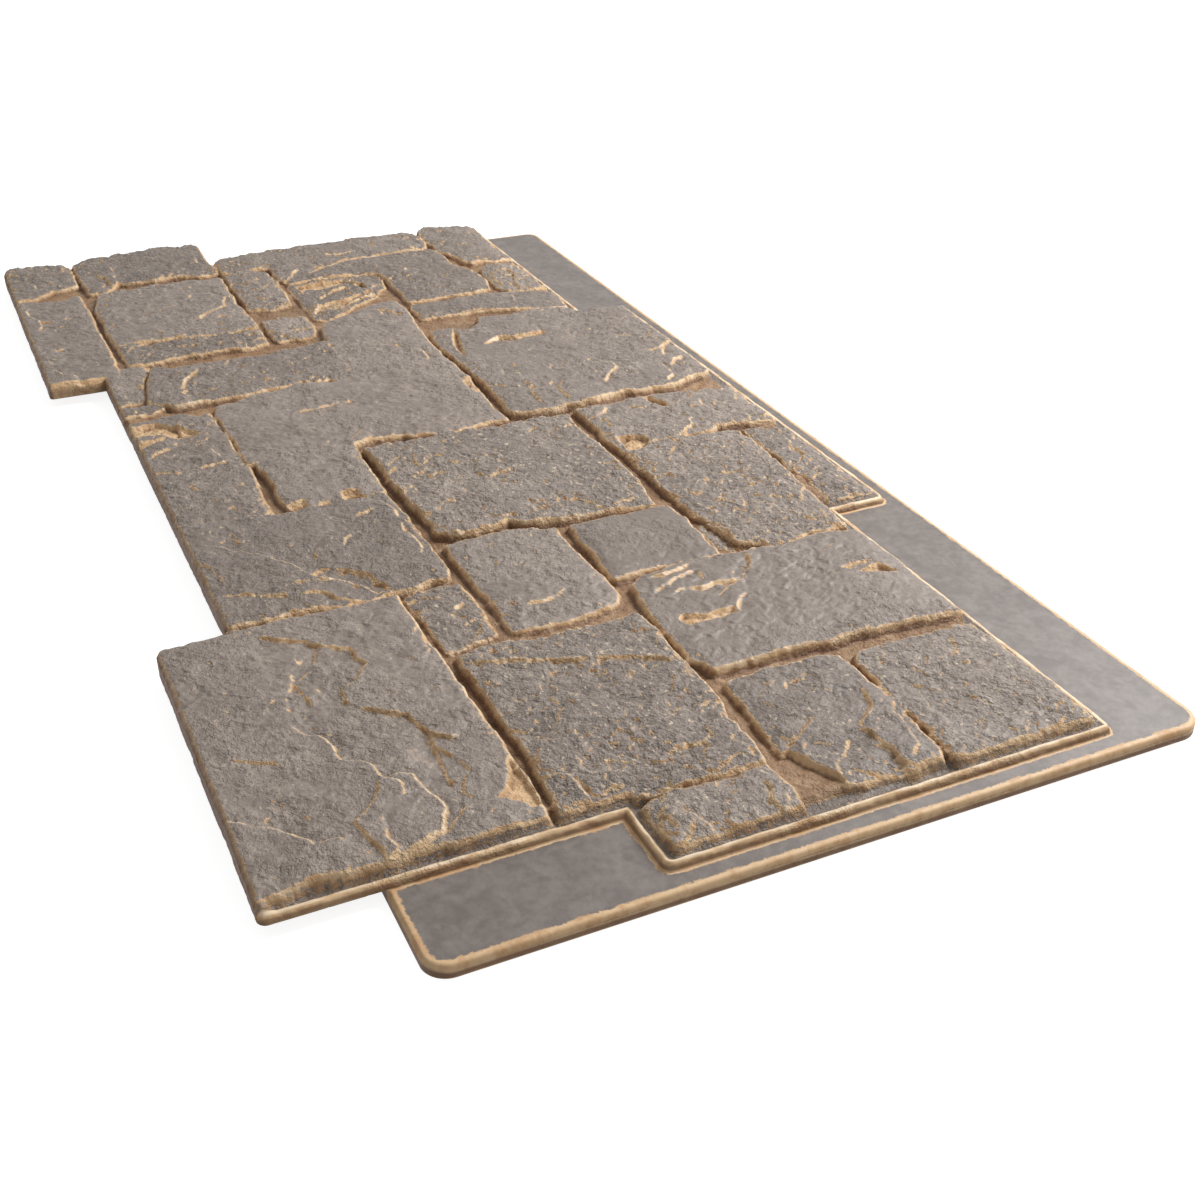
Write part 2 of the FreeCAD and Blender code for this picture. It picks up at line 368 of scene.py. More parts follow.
STONES: tuple[Stone, ...] = (
    Stone("near slab", 26.8, 0.3, (
        (262, -140), (300, -141), (350, -139), (400, -139), (450, -137), (500, -137), (534, -138),
        (533, -160), (531, -180), (527, -200), (526, -220), (530, -240), (528, -260), (526, -280),
        (528, -300), (530, -325), (252, -325), (252, -266), (262, -262), (263, -250), (262, -230),
        (260, -210), (262, -190), (263, -170))),
    Stone("wedge stone", 22.5, 0.6, (
        (267, -93), (285, -91), (300, -91), (320, -92), (338, -93), (341, -108), (345, -128),
        (320, -129), (300, -129), (282, -130), (268, -131), (266, -112))),
    Stone("veined stone", 26.3, 0.75, (
        (356, 9), (380, 12), (400, 11), (420, 13), (440, 12), (470, 11), (490, 8), (520, 7),
        (540, 5), (541, -20), (539, -42), (537, -60), (534, -85), (533, -105), (532, -126),
        (500, -124), (460, -121), (430, -124), (400, -123), (355, -124), (354, -100), (357, -60),
        (357, -30))),
    Stone("ledge stone", 24.0, 0.7, (
        (549, 4), (570, 6), (588, 5), (591, -15), (590, -50), (588, -78), (570, -80), (550, -82),
        (547, -60), (550, -35), (549, -15))),
    Stone("corner lower", 25.0, 0.45, (
        (461, 113), (490, 114), (520, 116), (550, 115), (582, 112), (583, 90), (580, 70), (581, 55),
        (577, 44), (560, 32), (540, 24), (520, 24), (500, 26), (480, 28), (460, 28), (458, 50),
        (459, 80), (458, 100))),
    Stone("corner upper", 25.8, 0.5, (
        (462, 200), (463, 228), (500, 230), (550, 231), (585, 230), (584, 200), (585, 170),
        (584, 150), (586, 123), (560, 124), (530, 122), (500, 124), (475, 125), (465, 130),
        (461, 145), (461, 165), (464, 180))),
    Stone("square stone", 27.0, 0.2, (
        (309, 231), (340, 232), (380, 232), (420, 231), (441, 230), (440, 205), (439, 180),
        (437, 150), (438, 120), (436, 100), (437, 60), (437, 30), (426, 28), (420, 22), (400, 22),
        (380, 22), (362, 22), (345, 25), (330, 28), (318, 29), (312, 38), (309, 52), (305, 68),
        (303, 82), (304, 96), (307, 112), (309, 128), (308, 145), (311, 162), (309, 180),
        (306, 200), (308, 215))),
    Stone("small upper", 26.0, 0.1, (
        (216, 109), (240, 111), (262, 109), (282, 108), (301, 107), (302, 90), (299, 70), (298, 50),
        (299, 30), (300, 21), (280, 20), (262, 24), (240, 22), (216, 25), (214, 50), (214, 80))),
    Stone("small lower", 25.0, 0.25, (
        (213, 9), (240, 8), (270, 7), (300, 10), (325, 10), (333, 6), (335, -10), (339, -25),
        (341, -42), (338, -60), (337, -76), (300, -76), (270, -77), (240, -78), (208, -78),
        (205, -60), (204, -35), (206, -15))),
    Stone("centre square", 27.0, 0.75, (
        (21, 106), (50, 104), (80, 106), (120, 106), (160, 106), (178, 104), (190, 100), (206, 99),
        (203, 80), (201, 60), (199, 40), (197, 25), (195, 5), (190, -8), (182, -18), (189, -30),
        (190, -50), (187, -68), (180, -76), (165, -73), (150, -76), (120, -78), (80, -80),
        (40, -80), (18, -82), (17, -62), (15, -42), (18, -20), (14, -5), (16, 12), (18, 30),
        (19, 60), (20, 85))),
    Stone("upper slab", 25.5, 0.75, (
        (117, 231), (140, 233), (170, 232), (200, 230), (225, 229), (250, 231), (275, 228),
        (297, 226), (299, 208), (294, 192), (301, 180), (308, 165), (306, 156), (297, 150),
        (290, 132), (270, 131), (250, 130), (235, 124), (205, 124), (180, 122), (160, 124),
        (120, 122), (115, 135), (108, 148), (103, 156), (107, 170), (110, 190), (112, 210))),
    Stone("slab shelf", 19.0, 0.6, (
        (250, 129), (288, 129), (296, 148), (306, 152), (304, 120), (296, 113), (275, 114),
        (250, 117))),
    Stone("cap strip", 22.5, 0.6, (
        (117, 243), (150, 242), (180, 243), (195, 240), (210, 247), (230, 245), (250, 243),
        (270, 240), (278, 238), (279, 260), (277, 281), (240, 282), (180, 282), (118, 281),
        (116, 262))),
    Stone("centre upper", 26.3, 0.5, (
        (22, 280), (60, 281), (96, 281), (95, 255), (93, 235), (92, 222), (100, 213), (104, 205),
        (100, 190), (103, 175), (100, 165), (98, 155), (108, 142), (114, 125), (95, 122), (75, 120),
        (60, 124), (45, 122), (14, 122), (15, 140), (17, 152), (15, 170), (13, 188), (12, 200),
        (17, 220), (20, 240), (18, 258))),
    Stone("top slab", 27.6, 0.35, (
        (-221, 282), (-180, 282), (-120, 283), (-60, 282), (-31, 281), (-24, 265), (-17, 252),
        (-10, 238), (-8, 220), (-9, 200), (-13, 182), (-10, 165), (-5, 150), (-3, 130), (-5, 118),
        (-1, 100), (-4, 80), (-8, 67), (-20, 66), (-50, 69), (-80, 69), (-100, 67), (-120, 66),
        (-140, 64), (-160, 62), (-180, 61), (-200, 62), (-221, 65), (-224, 86), (-214, 103),
        (-224, 118), (-240, 124), (-239, 150), (-238, 165), (-241, 185), (-244, 205), (-240, 224),
        (-226, 230), (-224, 255))),
    Stone("narrow stone", 24.0, 0.25, (
        (-294, 229), (-270, 229), (-249, 227), (-247, 205), (-250, 190), (-255, 170), (-261, 150),
        (-266, 130), (-268, 105), (-267, 72), (-290, 70), (-305, 74), (-306, 110), (-305, 145),
        (-303, 170), (-300, 190), (-296, 210))),
    Stone("far small cap", 24.0, 0.6, (
        (-388, 227), (-350, 228), (-312, 227), (-307, 208), (-311, 190), (-325, 182), (-345, 185),
        (-365, 184), (-382, 185), (-391, 196), (-389, 212))),
    Stone("far slab", 26.0, 0.4, (
        (-472, 152), (-440, 156), (-410, 155), (-395, 158), (-384, 167), (-365, 171), (-345, 171),
        (-330, 166), (-322, 150), (-323, 110), (-324, 78), (-345, 78), (-370, 78), (-400, 78),
        (-416, 74), (-427, 60), (-433, 40), (-431, 20), (-433, 0), (-432, -25), (-441, -12),
        (-448, 6), (-456, 25), (-463, 48), (-467, 75), (-469, 110))),
    Stone("far end", 25.2, 0.45, (
        (-575, 155), (-540, 152), (-505, 153), (-490, 150), (-486, 130), (-483, 100), (-482, 70),
        (-477, 48), (-472, 30), (-465, 12), (-455, 0), (-445, -12), (-437, -25), (-445, -31),
        (-465, -33), (-485, -32), (-492, -38), (-489, -55), (-487, -75), (-490, -86), (-520, -87),
        (-545, -90), (-585, -92), (-590, 60))),
    Stone("far cap", 25.0, 0.4, (
        (-590, 231), (-500, 231), (-417, 229), (-415, 212), (-419, 198), (-416, 184), (-424, 178),
        (-438, 181), (-450, 174), (-462, 166), (-490, 166), (-520, 165), (-545, 163), (-590, 170))),
    Stone("far chips", 22.5, 0.6, (
        (-425, 58), (-400, 62), (-374, 60), (-360, 50), (-347, 38), (-335, 22), (-324, 8),
        (-314, -4), (-304, -16), (-308, -30), (-345, -31), (-390, -30), (-425, -28), (-424, 0),
        (-427, 30))),
    Stone("long stone", 26.3, 0.25, (
        (-326, 58), (-300, 60), (-280, 59), (-260, 57), (-240, 54), (-220, 52), (-180, 50),
        (-160, 52), (-120, 55), (-100, 56), (-60, 52), (-20, 52), (1, 53), (3, 30), (5, 15), (9, 4),
        (10, -8), (5, -20), (2, -32), (-4, -42), (-5, -56), (-8, -70), (-3, -84), (0, -92),
        (40, -94), (97, -95), (98, -108), (95, -113), (86, -118), (86, -125), (97, -130),
        (95, -145), (97, -155), (90, -160), (88, -170), (70, -173), (50, -170), (30, -172),
        (4, -174), (2, -181), (-20, -180), (-50, -180), (-80, -182), (-110, -183), (-123, -180),
        (-125, -165), (-130, -150), (-136, -135), (-138, -120), (-143, -105), (-148, -97),
        (-142, -85), (-138, -70), (-139, -55), (-143, -42), (-160, -40), (-200, -40), (-240, -38),
        (-262, -36), (-284, -31), (-295, -22), (-301, -8), (-304, 4), (-312, 18), (-320, 34),
        (-325, 46))),
    Stone("low middle", 24.0, 0.4, (
        (-112, -190), (-90, -190), (-60, -188), (-30, -189), (0, -187), (40, -187), (70, -190),
        (96, -188), (98, -210), (97, -235), (95, -275), (-60, -275), (-114, -275), (-113, -262),
        (-118, -240), (-116, -215), (-108, -200))),
    Stone("chipped stone", 26.0, 0.4, (
        (-236, -44), (-200, -43), (-160, -43), (-146, -46), (-144, -60), (-150, -66), (-146, -78),
        (-156, -92), (-150, -105), (-149, -125), (-146, -140), (-144, -160), (-146, -185),
        (-144, -215), (-165, -231), (-180, -229), (-195, -227), (-210, -224), (-222, -219),
        (-238, -215), (-230, -200), (-227, -180), (-227, -140), (-229, -112), (-233, -95),
        (-235, -70))),
    Stone("under chipped", 21.0, 0.5, (
        (-249, -222), (-225, -224), (-210, -232), (-190, -235), (-163, -239), (-160, -275),
        (-240, -275), (-246, -262), (-248, -245))),
    Stone("foot facet", 23.0, 0.4, (
        (-152, -228), (-140, -227), (-135, -240), (-137, -275), (-155, -275), (-150, -250))),
    Stone("low strip near", 22.0, 0.7, (
        (-319, -47), (-300, -45), (-280, -47), (-263, -50), (-259, -62), (-264, -75), (-260, -84),
        (-285, -87), (-305, -85), (-320, -84), (-323, -65))),
    Stone("low strip far", 24.0, 0.7, (
        (-478, -60), (-470, -48), (-440, -46), (-400, -46), (-362, -50), (-358, -65), (-363, -80),
        (-366, -87), (-400, -86), (-440, -87), (-470, -86), (-477, -75))),
    Stone("left far pillar", 24.0, 0.6, (
        (-291, -99), (-262, -99), (-258, -115), (-261, -135), (-263, -150), (-259, -165),
        (-263, -180), (-259, -198), (-256, -215), (-258, -233), (-300, -235), (-307, -222),
        (-300, -205), (-303, -190), (-298, -165), (-300, -140), (-297, -115))),
    Stone("left far", 26.2, 0.35, (
        (-470, -100), (-440, -101), (-410, -101), (-385, -103), (-360, -100), (-310, -99),
        (-307, -120), (-309, -150), (-312, -175), (-316, -195), (-318, -215), (-314, -233),
        (-350, -235), (-390, -234), (-420, -235), (-440, -231), (-466, -224), (-470, -205),
        (-466, -195), (-470, -175), (-467, -155), (-471, -135), (-466, -115))),
    Stone("far key upper", 25.0, 0.45, (
        (-650, -86), (-560, -86), (-550, -98), (-495, -98), (-492, -115), (-498, -130),
        (-500, -148), (-494, -165), (-498, -190), (-506, -203), (-495, -212), (-478, -222),
        (-480, -233), (-520, -235), (-560, -234), (-650, -236))),
    Stone("far key lower", 23.0, 0.5, (
        (-650, -249), (-580, -249), (-540, -248), (-505, -250), (-500, -262), (-502, -275),
        (-490, -285), (-483, -300), (-480, -330), (-650, -330))),
    Stone("left low", 23.5, 0.35, (
        (-470, -252), (-440, -251), (-400, -250), (-360, -252), (-320, -250), (-260, -250),
        (-235, -252), (-232, -330), (-474, -330), (-470, -300), (-466, -285), (-461, -270))),
    Stone("tall stone", 25.5, 0.35, (
        (104, -98), (130, -94), (160, -93), (200, -93), (240, -93), (251, -96), (248, -108),
        (254, -120), (253, -140), (256, -160), (255, -180), (250, -200), (252, -230), (250, -275),
        (96, -275), (97, -235), (99, -200), (102, -175), (103, -150), (104, -130))),
)

SCARPS: tuple[Scarp, ...] = (
    # near slab
    Scarp(1.9, ((275, -245), (283, -237), (290, -225), (295, -215), (303, -213), (310, -200),
                (316, -190), (330, -190), (340, -187), (350, -194), (356, -200), (362, -210),
                (375, -212), (385, -207), (392, -198), (400, -190), (406, -180), (420, -178),
                (427, -174), (437, -170), (442, -163), (442, -156)), 22.0),
    Scarp(1.3, ((427, -174), (445, -175), (460, -168), (478, -164), (482, -170), (495, -175),
                (505, -172))),
    Scarp(1.1, ((428, -178), (455, -176), (470, -178), (492, -179)), 10.0),
    Scarp(1.0, ((303, -213), (318, -215), (330, -218), (338, -230), (342, -237), (365, -234),
                (376, -231)), 10.0),
    Scarp(-0.9, ((312, -222), (325, -233), (345, -240), (360, -248), (374, -247)), 10.0),
    Scarp(-1.3, ((385, -252), (400, -246), (405, -238), (418, -233), (437, -234), (441, -222),
                 (450, -217), (460, -216), (470, -208), (480, -207), (488, -213))),
    Scarp(-1.6, ((460, -216), (462, -205), (466, -197), (480, -195), (495, -190), (502, -190),
                 (512, -193), (520, -197), (525, -208), (528, -225)), 14.0),
    Scarp(1.2, ((508, -155), (507, -168), (508, -180), (515, -188), (525, -197)), 10.0),
    Scarp(1.4, ((460, -218), (475, -222), (485, -230), (495, -243), (510, -240), (525, -235),
                (533, -236)), 12.0),
    Scarp(-1.0, ((495, -228), (515, -229), (528, -225)), 8.0),
    Scarp(-1.2, ((462, -314), (475, -300), (478, -290), (490, -278), (503, -270),
                 (506, -250)), 12.0),
    Scarp(1.0, ((403, -300), (412, -285), (420, -272), (438, -262)), 12.0),
    # wedge, veined and ledge stones
    Scarp(-1.6, ((279, -92), (290, -103), (304, -113)), 8.0),
    Scarp(1.8, ((312, -91), (328, -100), (338, -112), (344, -130)), 9.0),
    Scarp(-1.2, ((277, -108), (281, -120), (285, -131)), 7.0),
    Scarp(-2.0, ((422, 10), (415, 0), (408, -15), (400, -32), (393, -55), (388, -66), (381, -82),
                 (376, -95), (371, -112), (368, -124)), 20.0),
    Scarp(1.4, ((500, -90), (503, -78), (508, -70), (512, -76), (510, -88)), 6.0),
    Scarp(-1.2, ((500, -124), (504, -112), (515, -108), (530, -106)), 7.0),
    Scarp(1.4, ((468, -10), (478, -24), (484, -40), (480, -58)), 9.0),
    Scarp(-1.3, ((500, -8), (512, -18), (508, -35), (515, -50)), 8.0),
    Scarp(1.5, ((552, 0), (566, -2), (576, -8), (590, -4)), 8.0),
    Scarp(-1.3, ((556, -62), (566, -57), (577, -52), (587, -48)), 8.0),
    Scarp(1.5, ((552, -66), (560, -74), (572, -70), (582, -76)), 8.0),
    # corner stones
    Scarp(2.2, ((497, 109), (512, 104), (522, 100), (530, 88), (536, 82), (555, 85), (565, 88),
                (575, 87), (586, 96)), 22.0),
    Scarp(-1.2, ((525, 108), (540, 112), (552, 109), (568, 106), (575, 95)), 8.0),
    Scarp(1.4, ((513, 62), (522, 50), (530, 40), (536, 24)), 12.0),
    Scarp(-1.2, ((540, 72), (552, 60), (562, 48), (575, 44)), 10.0),
    Scarp(-1.0, ((466, 85), (474, 78), (472, 66), (480, 58)), 9.0),
    Scarp(1.2, ((466, 205), (480, 200), (492, 192), (497, 180)), 12.0),
    Scarp(-1.0, ((466, 148), (478, 140), (484, 132)), 8.0),
    Scarp(1.0, ((520, 180), (528, 172), (526, 160)), 8.0),
    # square stone
    Scarp(1.8, ((310, 129), (325, 123), (335, 113), (345, 104), (350, 90), (362, 74)), 10.0),
    Scarp(-1.6, ((338, 112), (342, 100), (341, 85), (343, 70), (340, 55), (345, 44)), 9.0),
    Scarp(-1.3, ((318, 81), (321, 70), (326, 58), (331, 45), (338, 30)), 8.0),
    Scarp(1.1, ((318, 82), (328, 80), (337, 77)), 6.0),
    Scarp(-1.4, ((305, 82), (312, 70), (316, 55), (312, 38)), 7.0),
    Scarp(-1.8, ((366, 100), (368, 90), (376, 84), (386, 79)), 8.0),
    Scarp(1.0, ((323, 202), (330, 192), (335, 183)), 6.0),
    Scarp(0.8, ((366, 186), (368, 165), (360, 140)), 10.0),
    # small lower and centre square
    Scarp(-1.2, ((300, -18), (308, -28), (311, -42), (309, -62)), 10.0),
    Scarp(1.0, ((210, -42), (222, -50), (236, -54), (256, -52)), 9.0),
    Scarp(1.3, ((22, -50), (40, -47), (60, -52), (95, -48)), 12.0),
    Scarp(-1.2, ((100, 22), (108, 14), (106, 4), (112, -6)), 8.0),
    Scarp(1.2, ((42, 88), (52, 84), (62, 88)), 8.0),
    Scarp(1.2, ((160, 18), (172, 20), (186, 18)), 8.0),
    # upper slab and cap strip
    Scarp(1.6, ((246, 128), (256, 133), (272, 134), (289, 131)), 9.0),
    Scarp(1.3, ((144, 126), (152, 130), (162, 125)), 6.0),
    Scarp(-1.1, ((226, 176), (236, 170), (246, 162)), 7.0),
    Scarp(1.4, ((243, 281), (242, 266), (245, 248)), 8.0),
    Scarp(-1.3, ((213, 281), (215, 270), (222, 262)), 7.0),
    Scarp(-1.2, ((208, 272), (208, 260), (213, 248)), 7.0),
    Scarp(1.6, ((150, 275), (158, 271), (172, 271), (180, 260), (190, 243)), 9.0),
    # centre upper
    Scarp(1.7, ((22, 234), (35, 230), (36, 218), (41, 206), (41, 199)), 10.0),
    Scarp(2.0, ((10, 195), (22, 197), (41, 202)), 10.0),
    Scarp(-1.3, ((38, 234), (52, 232), (64, 236), (78, 241)), 8.0),
    Scarp(-1.2, ((18, 148), (28, 142), (36, 132), (42, 123)), 10.0),
    Scarp(-1.4, ((70, 208), (85, 202), (95, 190), (103, 178)), 10.0),
    Scarp(1.3, ((44, 134), (54, 136), (64, 133)), 7.0),
    # top slab
    Scarp(-1.9, ((-172, 172), (-176, 160), (-174, 142), (-180, 122), (-172, 108),
                 (-164, 98)), 12.0),
    Scarp(1.7, ((-143, 282), (-136, 272), (-120, 263), (-125, 250), (-141, 227)), 14.0),
    Scarp(-1.5, ((-110, 284), (-100, 271), (-92, 262), (-88, 242)), 10.0),
    Scarp(-1.4, ((-98, 270), (-82, 260), (-68, 254)), 9.0),
    Scarp(-1.5, ((-66, 274), (-56, 259), (-46, 250), (-37, 250)), 9.0),
    Scarp(-1.4, ((-60, 240), (-36, 243), (-20, 238), (-12, 226)), 10.0),
    Scarp(-1.7, ((-92, 178), (-81, 182), (-76, 197), (-61, 199), (-54, 190), (-42, 178),
                 (-30, 171)), 12.0),
    Scarp(1.3, ((-99, 163), (-84, 152), (-75, 138)), 9.0),
    Scarp(1.4, ((-60, 142), (-46, 130), (-30, 124), (-6, 126)), 10.0),
    Scarp(1.4, ((-112, 104), (-100, 108), (-90, 103), (-60, 102), (-46, 105), (-40, 98),
                (-5, 97)), 10.0),
    Scarp(-1.3, ((-136, 89), (-122, 95), (-100, 92), (-84, 87)), 9.0),
    Scarp(1.2, ((-46, 116), (-42, 106), (-46, 98)), 6.0),
    Scarp(0.9, ((-205, 168), (-190, 160), (-180, 146)), 8.0),
    # narrow stone, far caps, far slab, far end
    Scarp(-0.9, ((-302, 189), (-290, 183), (-278, 181), (-264, 185), (-246, 192)), 9.0),
    Scarp(1.8, ((-382, 213), (-362, 214), (-346, 208), (-330, 203), (-314, 204)), 8.0),
    Scarp(1.4, ((-385, 200), (-375, 192), (-355, 187), (-330, 190)), 7.0),
    Scarp(1.0, ((-392, 145), (-380, 141), (-372, 136)), 7.0),
    Scarp(-1.0, ((-432, 100), (-418, 104), (-404, 96)), 10.0),
    Scarp(1.2, ((-500, 148), (-495, 130), (-486, 112)), 8.0),
    Scarp(-1.0, ((-508, 72), (-502, 50), (-505, 30)), 10.0),
    Scarp(-1.3, ((-470, -6), (-458, -16), (-444, -26), (-434, -38)), 8.0),
    Scarp(1.1, ((-555, 108), (-535, 100), (-510, 96)), 10.0),
    # far chips
    Scarp(2.4, ((-430, 45), (-418, 38), (-404, 36), (-396, 44), (-380, 46)), 9.0),
    Scarp(-2.2, ((-372, 46), (-364, 46), (-358, 32), (-346, 14), (-334, 0)), 8.0),
    Scarp(-2.0, ((-352, -14), (-342, -22), (-328, -30)), 7.0),
    Scarp(1.6, ((-412, -10), (-400, -22), (-382, -24)), 8.0),
    Scarp(-1.8, ((-398, 34), (-392, 18), (-386, 2), (-372, -12)), 8.0),
    # long stone
    Scarp(-1.3, ((-186, 34), (-176, 38), (-162, 39), (-150, 34)), 8.0),
    Scarp(1.1, ((-112, 54), (-106, 42), (-96, 34)), 8.0),
    Scarp(1.6, ((-106, 52), (-92, 55), (-78, 52), (-62, 54)), 6.0),
    Scarp(-1.0, ((-84, -55), (-88, -75), (-84, -100), (-86, -120)), 12.0),
    Scarp(0.9, ((-86, -118), (-76, -124), (-62, -126)), 7.0),
    Scarp(1.1, ((-10, 30), (-6, 14), (4, 2)), 8.0),
    Scarp(1.4, ((-30, -68), (-18, -78), (-5, -92)), 9.0),
    Scarp(0.8, ((-2, -92), (0, -130), (3, -178)), 6.0),
    Scarp(-0.9, ((-215, 2), (-202, 14), (-190, 26)), 7.0),
    # low middle and the chipped stones
    Scarp(-1.2, ((-14, -190), (-12, -210), (-6, -240), (-12, -262)), 9.0),
    Scarp(1.2, ((18, -232), (28, -236), (34, -228)), 6.0),
    Scarp(1.9, ((-112, -216), (-100, -222), (-86, -221), (-78, -207), (-64, -218),
                (-56, -232)), 9.0),
    Scarp(-1.4, ((-58, -232), (-52, -248), (-40, -262)), 7.0),
    Scarp(-1.2, ((-48, -205), (-32, -202), (-18, -200)), 8.0),
    Scarp(-1.7, ((-222, -176), (-212, -180), (-196, -193), (-176, -203)), 9.0),
    Scarp(1.2, ((-222, -128), (-200, -136), (-180, -152), (-160, -178), (-148, -196)), 16.0),
    Scarp(-1.1, ((-172, -108), (-168, -118), (-174, -128)), 7.0),
    Scarp(1.2, ((-206, -80), (-196, -92), (-188, -104)), 9.0),
    Scarp(1.5, ((-218, -232), (-208, -236), (-200, -232)), 6.0),
    # left far stones and the far key
    Scarp(-1.4, ((-412, -104), (-396, -110), (-381, -112), (-372, -126), (-360, -140),
                 (-350, -147)), 9.0),
    Scarp(-1.1, ((-430, -134), (-422, -140), (-408, -148)), 8.0),
    Scarp(1.5, ((-466, -226), (-446, -222), (-430, -230), (-412, -238)), 8.0),
    Scarp(1.3, ((-376, -231), (-362, -229), (-350, -234)), 6.0),
    Scarp(-1.1, ((-345, -110), (-352, -124), (-342, -134)), 8.0),
    Scarp(1.8, ((-546, -216), (-532, -219), (-528, -212), (-505, -211), (-494, -207)), 10.0),
    Scarp(-1.1, ((-560, -202), (-540, -200), (-515, -203)), 8.0),
    Scarp(1.2, ((-592, -204), (-582, -208), (-574, -204)), 7.0),
    Scarp(-1.0, ((-560, -104), (-545, -108), (-525, -104)), 7.0),
    Scarp(1.1, ((-572, -254), (-560, -258), (-545, -256)), 7.0),
    Scarp(-1.0, ((-545, -292), (-530, -286), (-515, -288)), 8.0),
    Scarp(-1.3, ((-466, -301), (-450, -306), (-436, -304), (-420, -297), (-400, -297),
                 (-386, -303)), 8.0),
    Scarp(1.1, ((-418, -298), (-410, -286), (-398, -284)), 7.0),
    Scarp(-1.2, ((-334, -280), (-328, -290), (-332, -299)), 7.0),
    Scarp(-1.3, ((-282, -304), (-264, -296), (-259, -286), (-236, -283)), 8.0),
    # tall stone
    Scarp(-1.8, ((133, -243), (142, -234), (150, -226), (165, -212), (185, -197),
                 (208, -187)), 14.0),
    Scarp(-1.4, ((242, -158), (230, -161), (219, -173), (215, -186), (215, -200),
                 (220, -215)), 9.0),
    Scarp(-1.4, ((255, -165), (247, -178), (235, -186), (231, -202), (222, -225), (211, -245),
                 (208, -258)), 8.0),
    Scarp(1.1, ((164, -168), (176, -175), (198, -176)), 7.0),
    Scarp(-1.2, ((106, -118), (113, -102), (128, -96), (160, -99), (190, -96), (205, -98),
                 (213, -104)), 8.0),
    Scarp(-1.0, ((124, -104), (127, -118), (130, -134)), 7.0),
    Scarp(1.1, ((99, -226), (118, -226), (140, -221)), 8.0),
    Scarp(1.2, ((224, -228), (236, -230), (252, -237)), 7.0),
    Scarp(1.0, ((155, -257), (176, -250), (206, -243)), 7.0),
    Scarp(-1.0, ((155, -136), (162, -146), (174, -152)), 7.0),
)

CHIPS: tuple[Chip, ...] = (
    Chip(4.5, ((472, -137), (488, -143), (502, -150), (508, -158), (514, -150), (522, -142),
               (520, -134))),
    Chip(4.5, ((380, 221), (372, 217), (366, 212), (367, 204), (371, 198), (369, 190), (375, 196),
               (379, 208))),
    Chip(2.5, ((357, 208), (361, 212), (364, 203), (362, 196), (366, 188), (361, 179),
               (358, 192)), 0.6),
    Chip(3.6, ((378, 79), (386, 77), (387, 58), (385, 38), (376, 34), (371, 40), (378, 56))),
    Chip(6.0, ((538, 27), (556, 35), (576, 46), (582, 30), (560, 18), (540, 18)), 0.4),
    Chip(4.5, ((-219, 87), (-200, 85), (-178, 80), (-158, 75), (-142, 71), (-160, 69), (-182, 73),
               (-205, 81)), 0.8),
    Chip(2.4, ((-178, 172), (-170, 172), (-168, 150), (-167, 130), (-172, 110), (-181, 120),
               (-176, 145)), 0.3),
    Chip(3.2, ((198, -178), (208, -160), (225, -146), (250, -138), (254, -150), (237, -157),
               (222, -171), (212, -188)), 0.25),
    Chip(4.5, ((84, 127), (86, 146), (98, 154), (110, 142), (114, 126)), 0.7),
    Chip(3.5, ((-420, 30), (-404, 32), (-397, 10), (-401, -22), (-421, -24), (-422, 0)), 0.8),
    Chip(3.0, ((-352, 16), (-340, 12), (-330, -6), (-336, -20), (-350, -20), (-355, 0)), 0.6),
    Chip(3.0, ((-374, 47), (-366, 47), (-354, 30), (-344, 10), (-350, 6), (-364, 24)), 0.4),
    Chip(4.5, ((-78, -205), (-94, -221), (-114, -238), (-110, -272), (-91, -272), (-83, -242),
               (-73, -226))),
    Chip(3.0, ((-77, -232), (-70, -240), (-60, -272), (-73, -272)), 0.8),
    Chip(1.6, ((-226, -128), (-200, -138), (-166, -166), (-148, -200), (-166, -206), (-196, -176),
               (-224, -160)), 0.0),
    Chip(3.0, ((-90, 46), (-60, 52), (-60, 62), (-100, 62)), 0.3),
    Chip(3.0, ((-506, -258), (-486, -256), (-470, -262), (-476, -272), (-500, -272)), 0.5),
    Chip(3.0, ((84, -112), (100, -112), (100, -128), (84, -126)), 1.0),
    Chip(3.0, ((86, -158), (100, -156), (100, -172), (88, -172)), 0.9),
    Chip(2.5, ((-305, 32), (-288, 34), (-276, 50), (-284, 54), (-300, 40)), 0.0),
    Chip(3.0, ((12, 196), (26, 199), (42, 203), (42, 197), (26, 192), (12, 188)), 0.5),
)


@dataclass(frozen=True)
class CornerRound:
    """A convex corner of the outline or of the lip: which way it points, and its radius.

    Fields:
        reach: How far past the corner the bend still moves the grid, in radii.
    """

    x: float
    y: float
    way_x: int
    way_y: int
    radius: float
    reach: float = 1.2

    def bend(self, x: Array, y: Array, over_x: Array, over_y: Array) -> None:
        """Bends the grid round the corner, in place.

        The square inside the corner goes to a quarter disc by u * sqrt(1 - v * v / 2), and the
        same shift fades out past the corner.

        Args:
            x: Even places along the panel.
            y: Even places across the panel.
            over_x: Shifts along the panel, which this adds to.
            over_y: Shifts across the panel.
        """
        u = (x - self.x) * self.way_x / self.radius + 1
        v = (y - self.y) * self.way_y / self.radius + 1
        end = 1 + self.reach
        near = (u > 0) & (v > 0) & (u < end) & (v < end)
        side, rise = u[near], v[near]
        past_side, past_rise = np.maximum(side - 1, 0), np.maximum(rise - 1, 0)
        fade = (1 - past_side / self.reach) * (1 - past_rise / self.reach)
        side, rise = np.minimum(side, 1), np.minimum(rise, 1)
        pull = self.radius * fade
        over_x[near] += self.way_x * pull * side * (np.sqrt(1 - rise * rise / 2) - 1)
        over_y[near] += self.way_y * pull * rise * (np.sqrt(1 - side * side / 2) - 1)


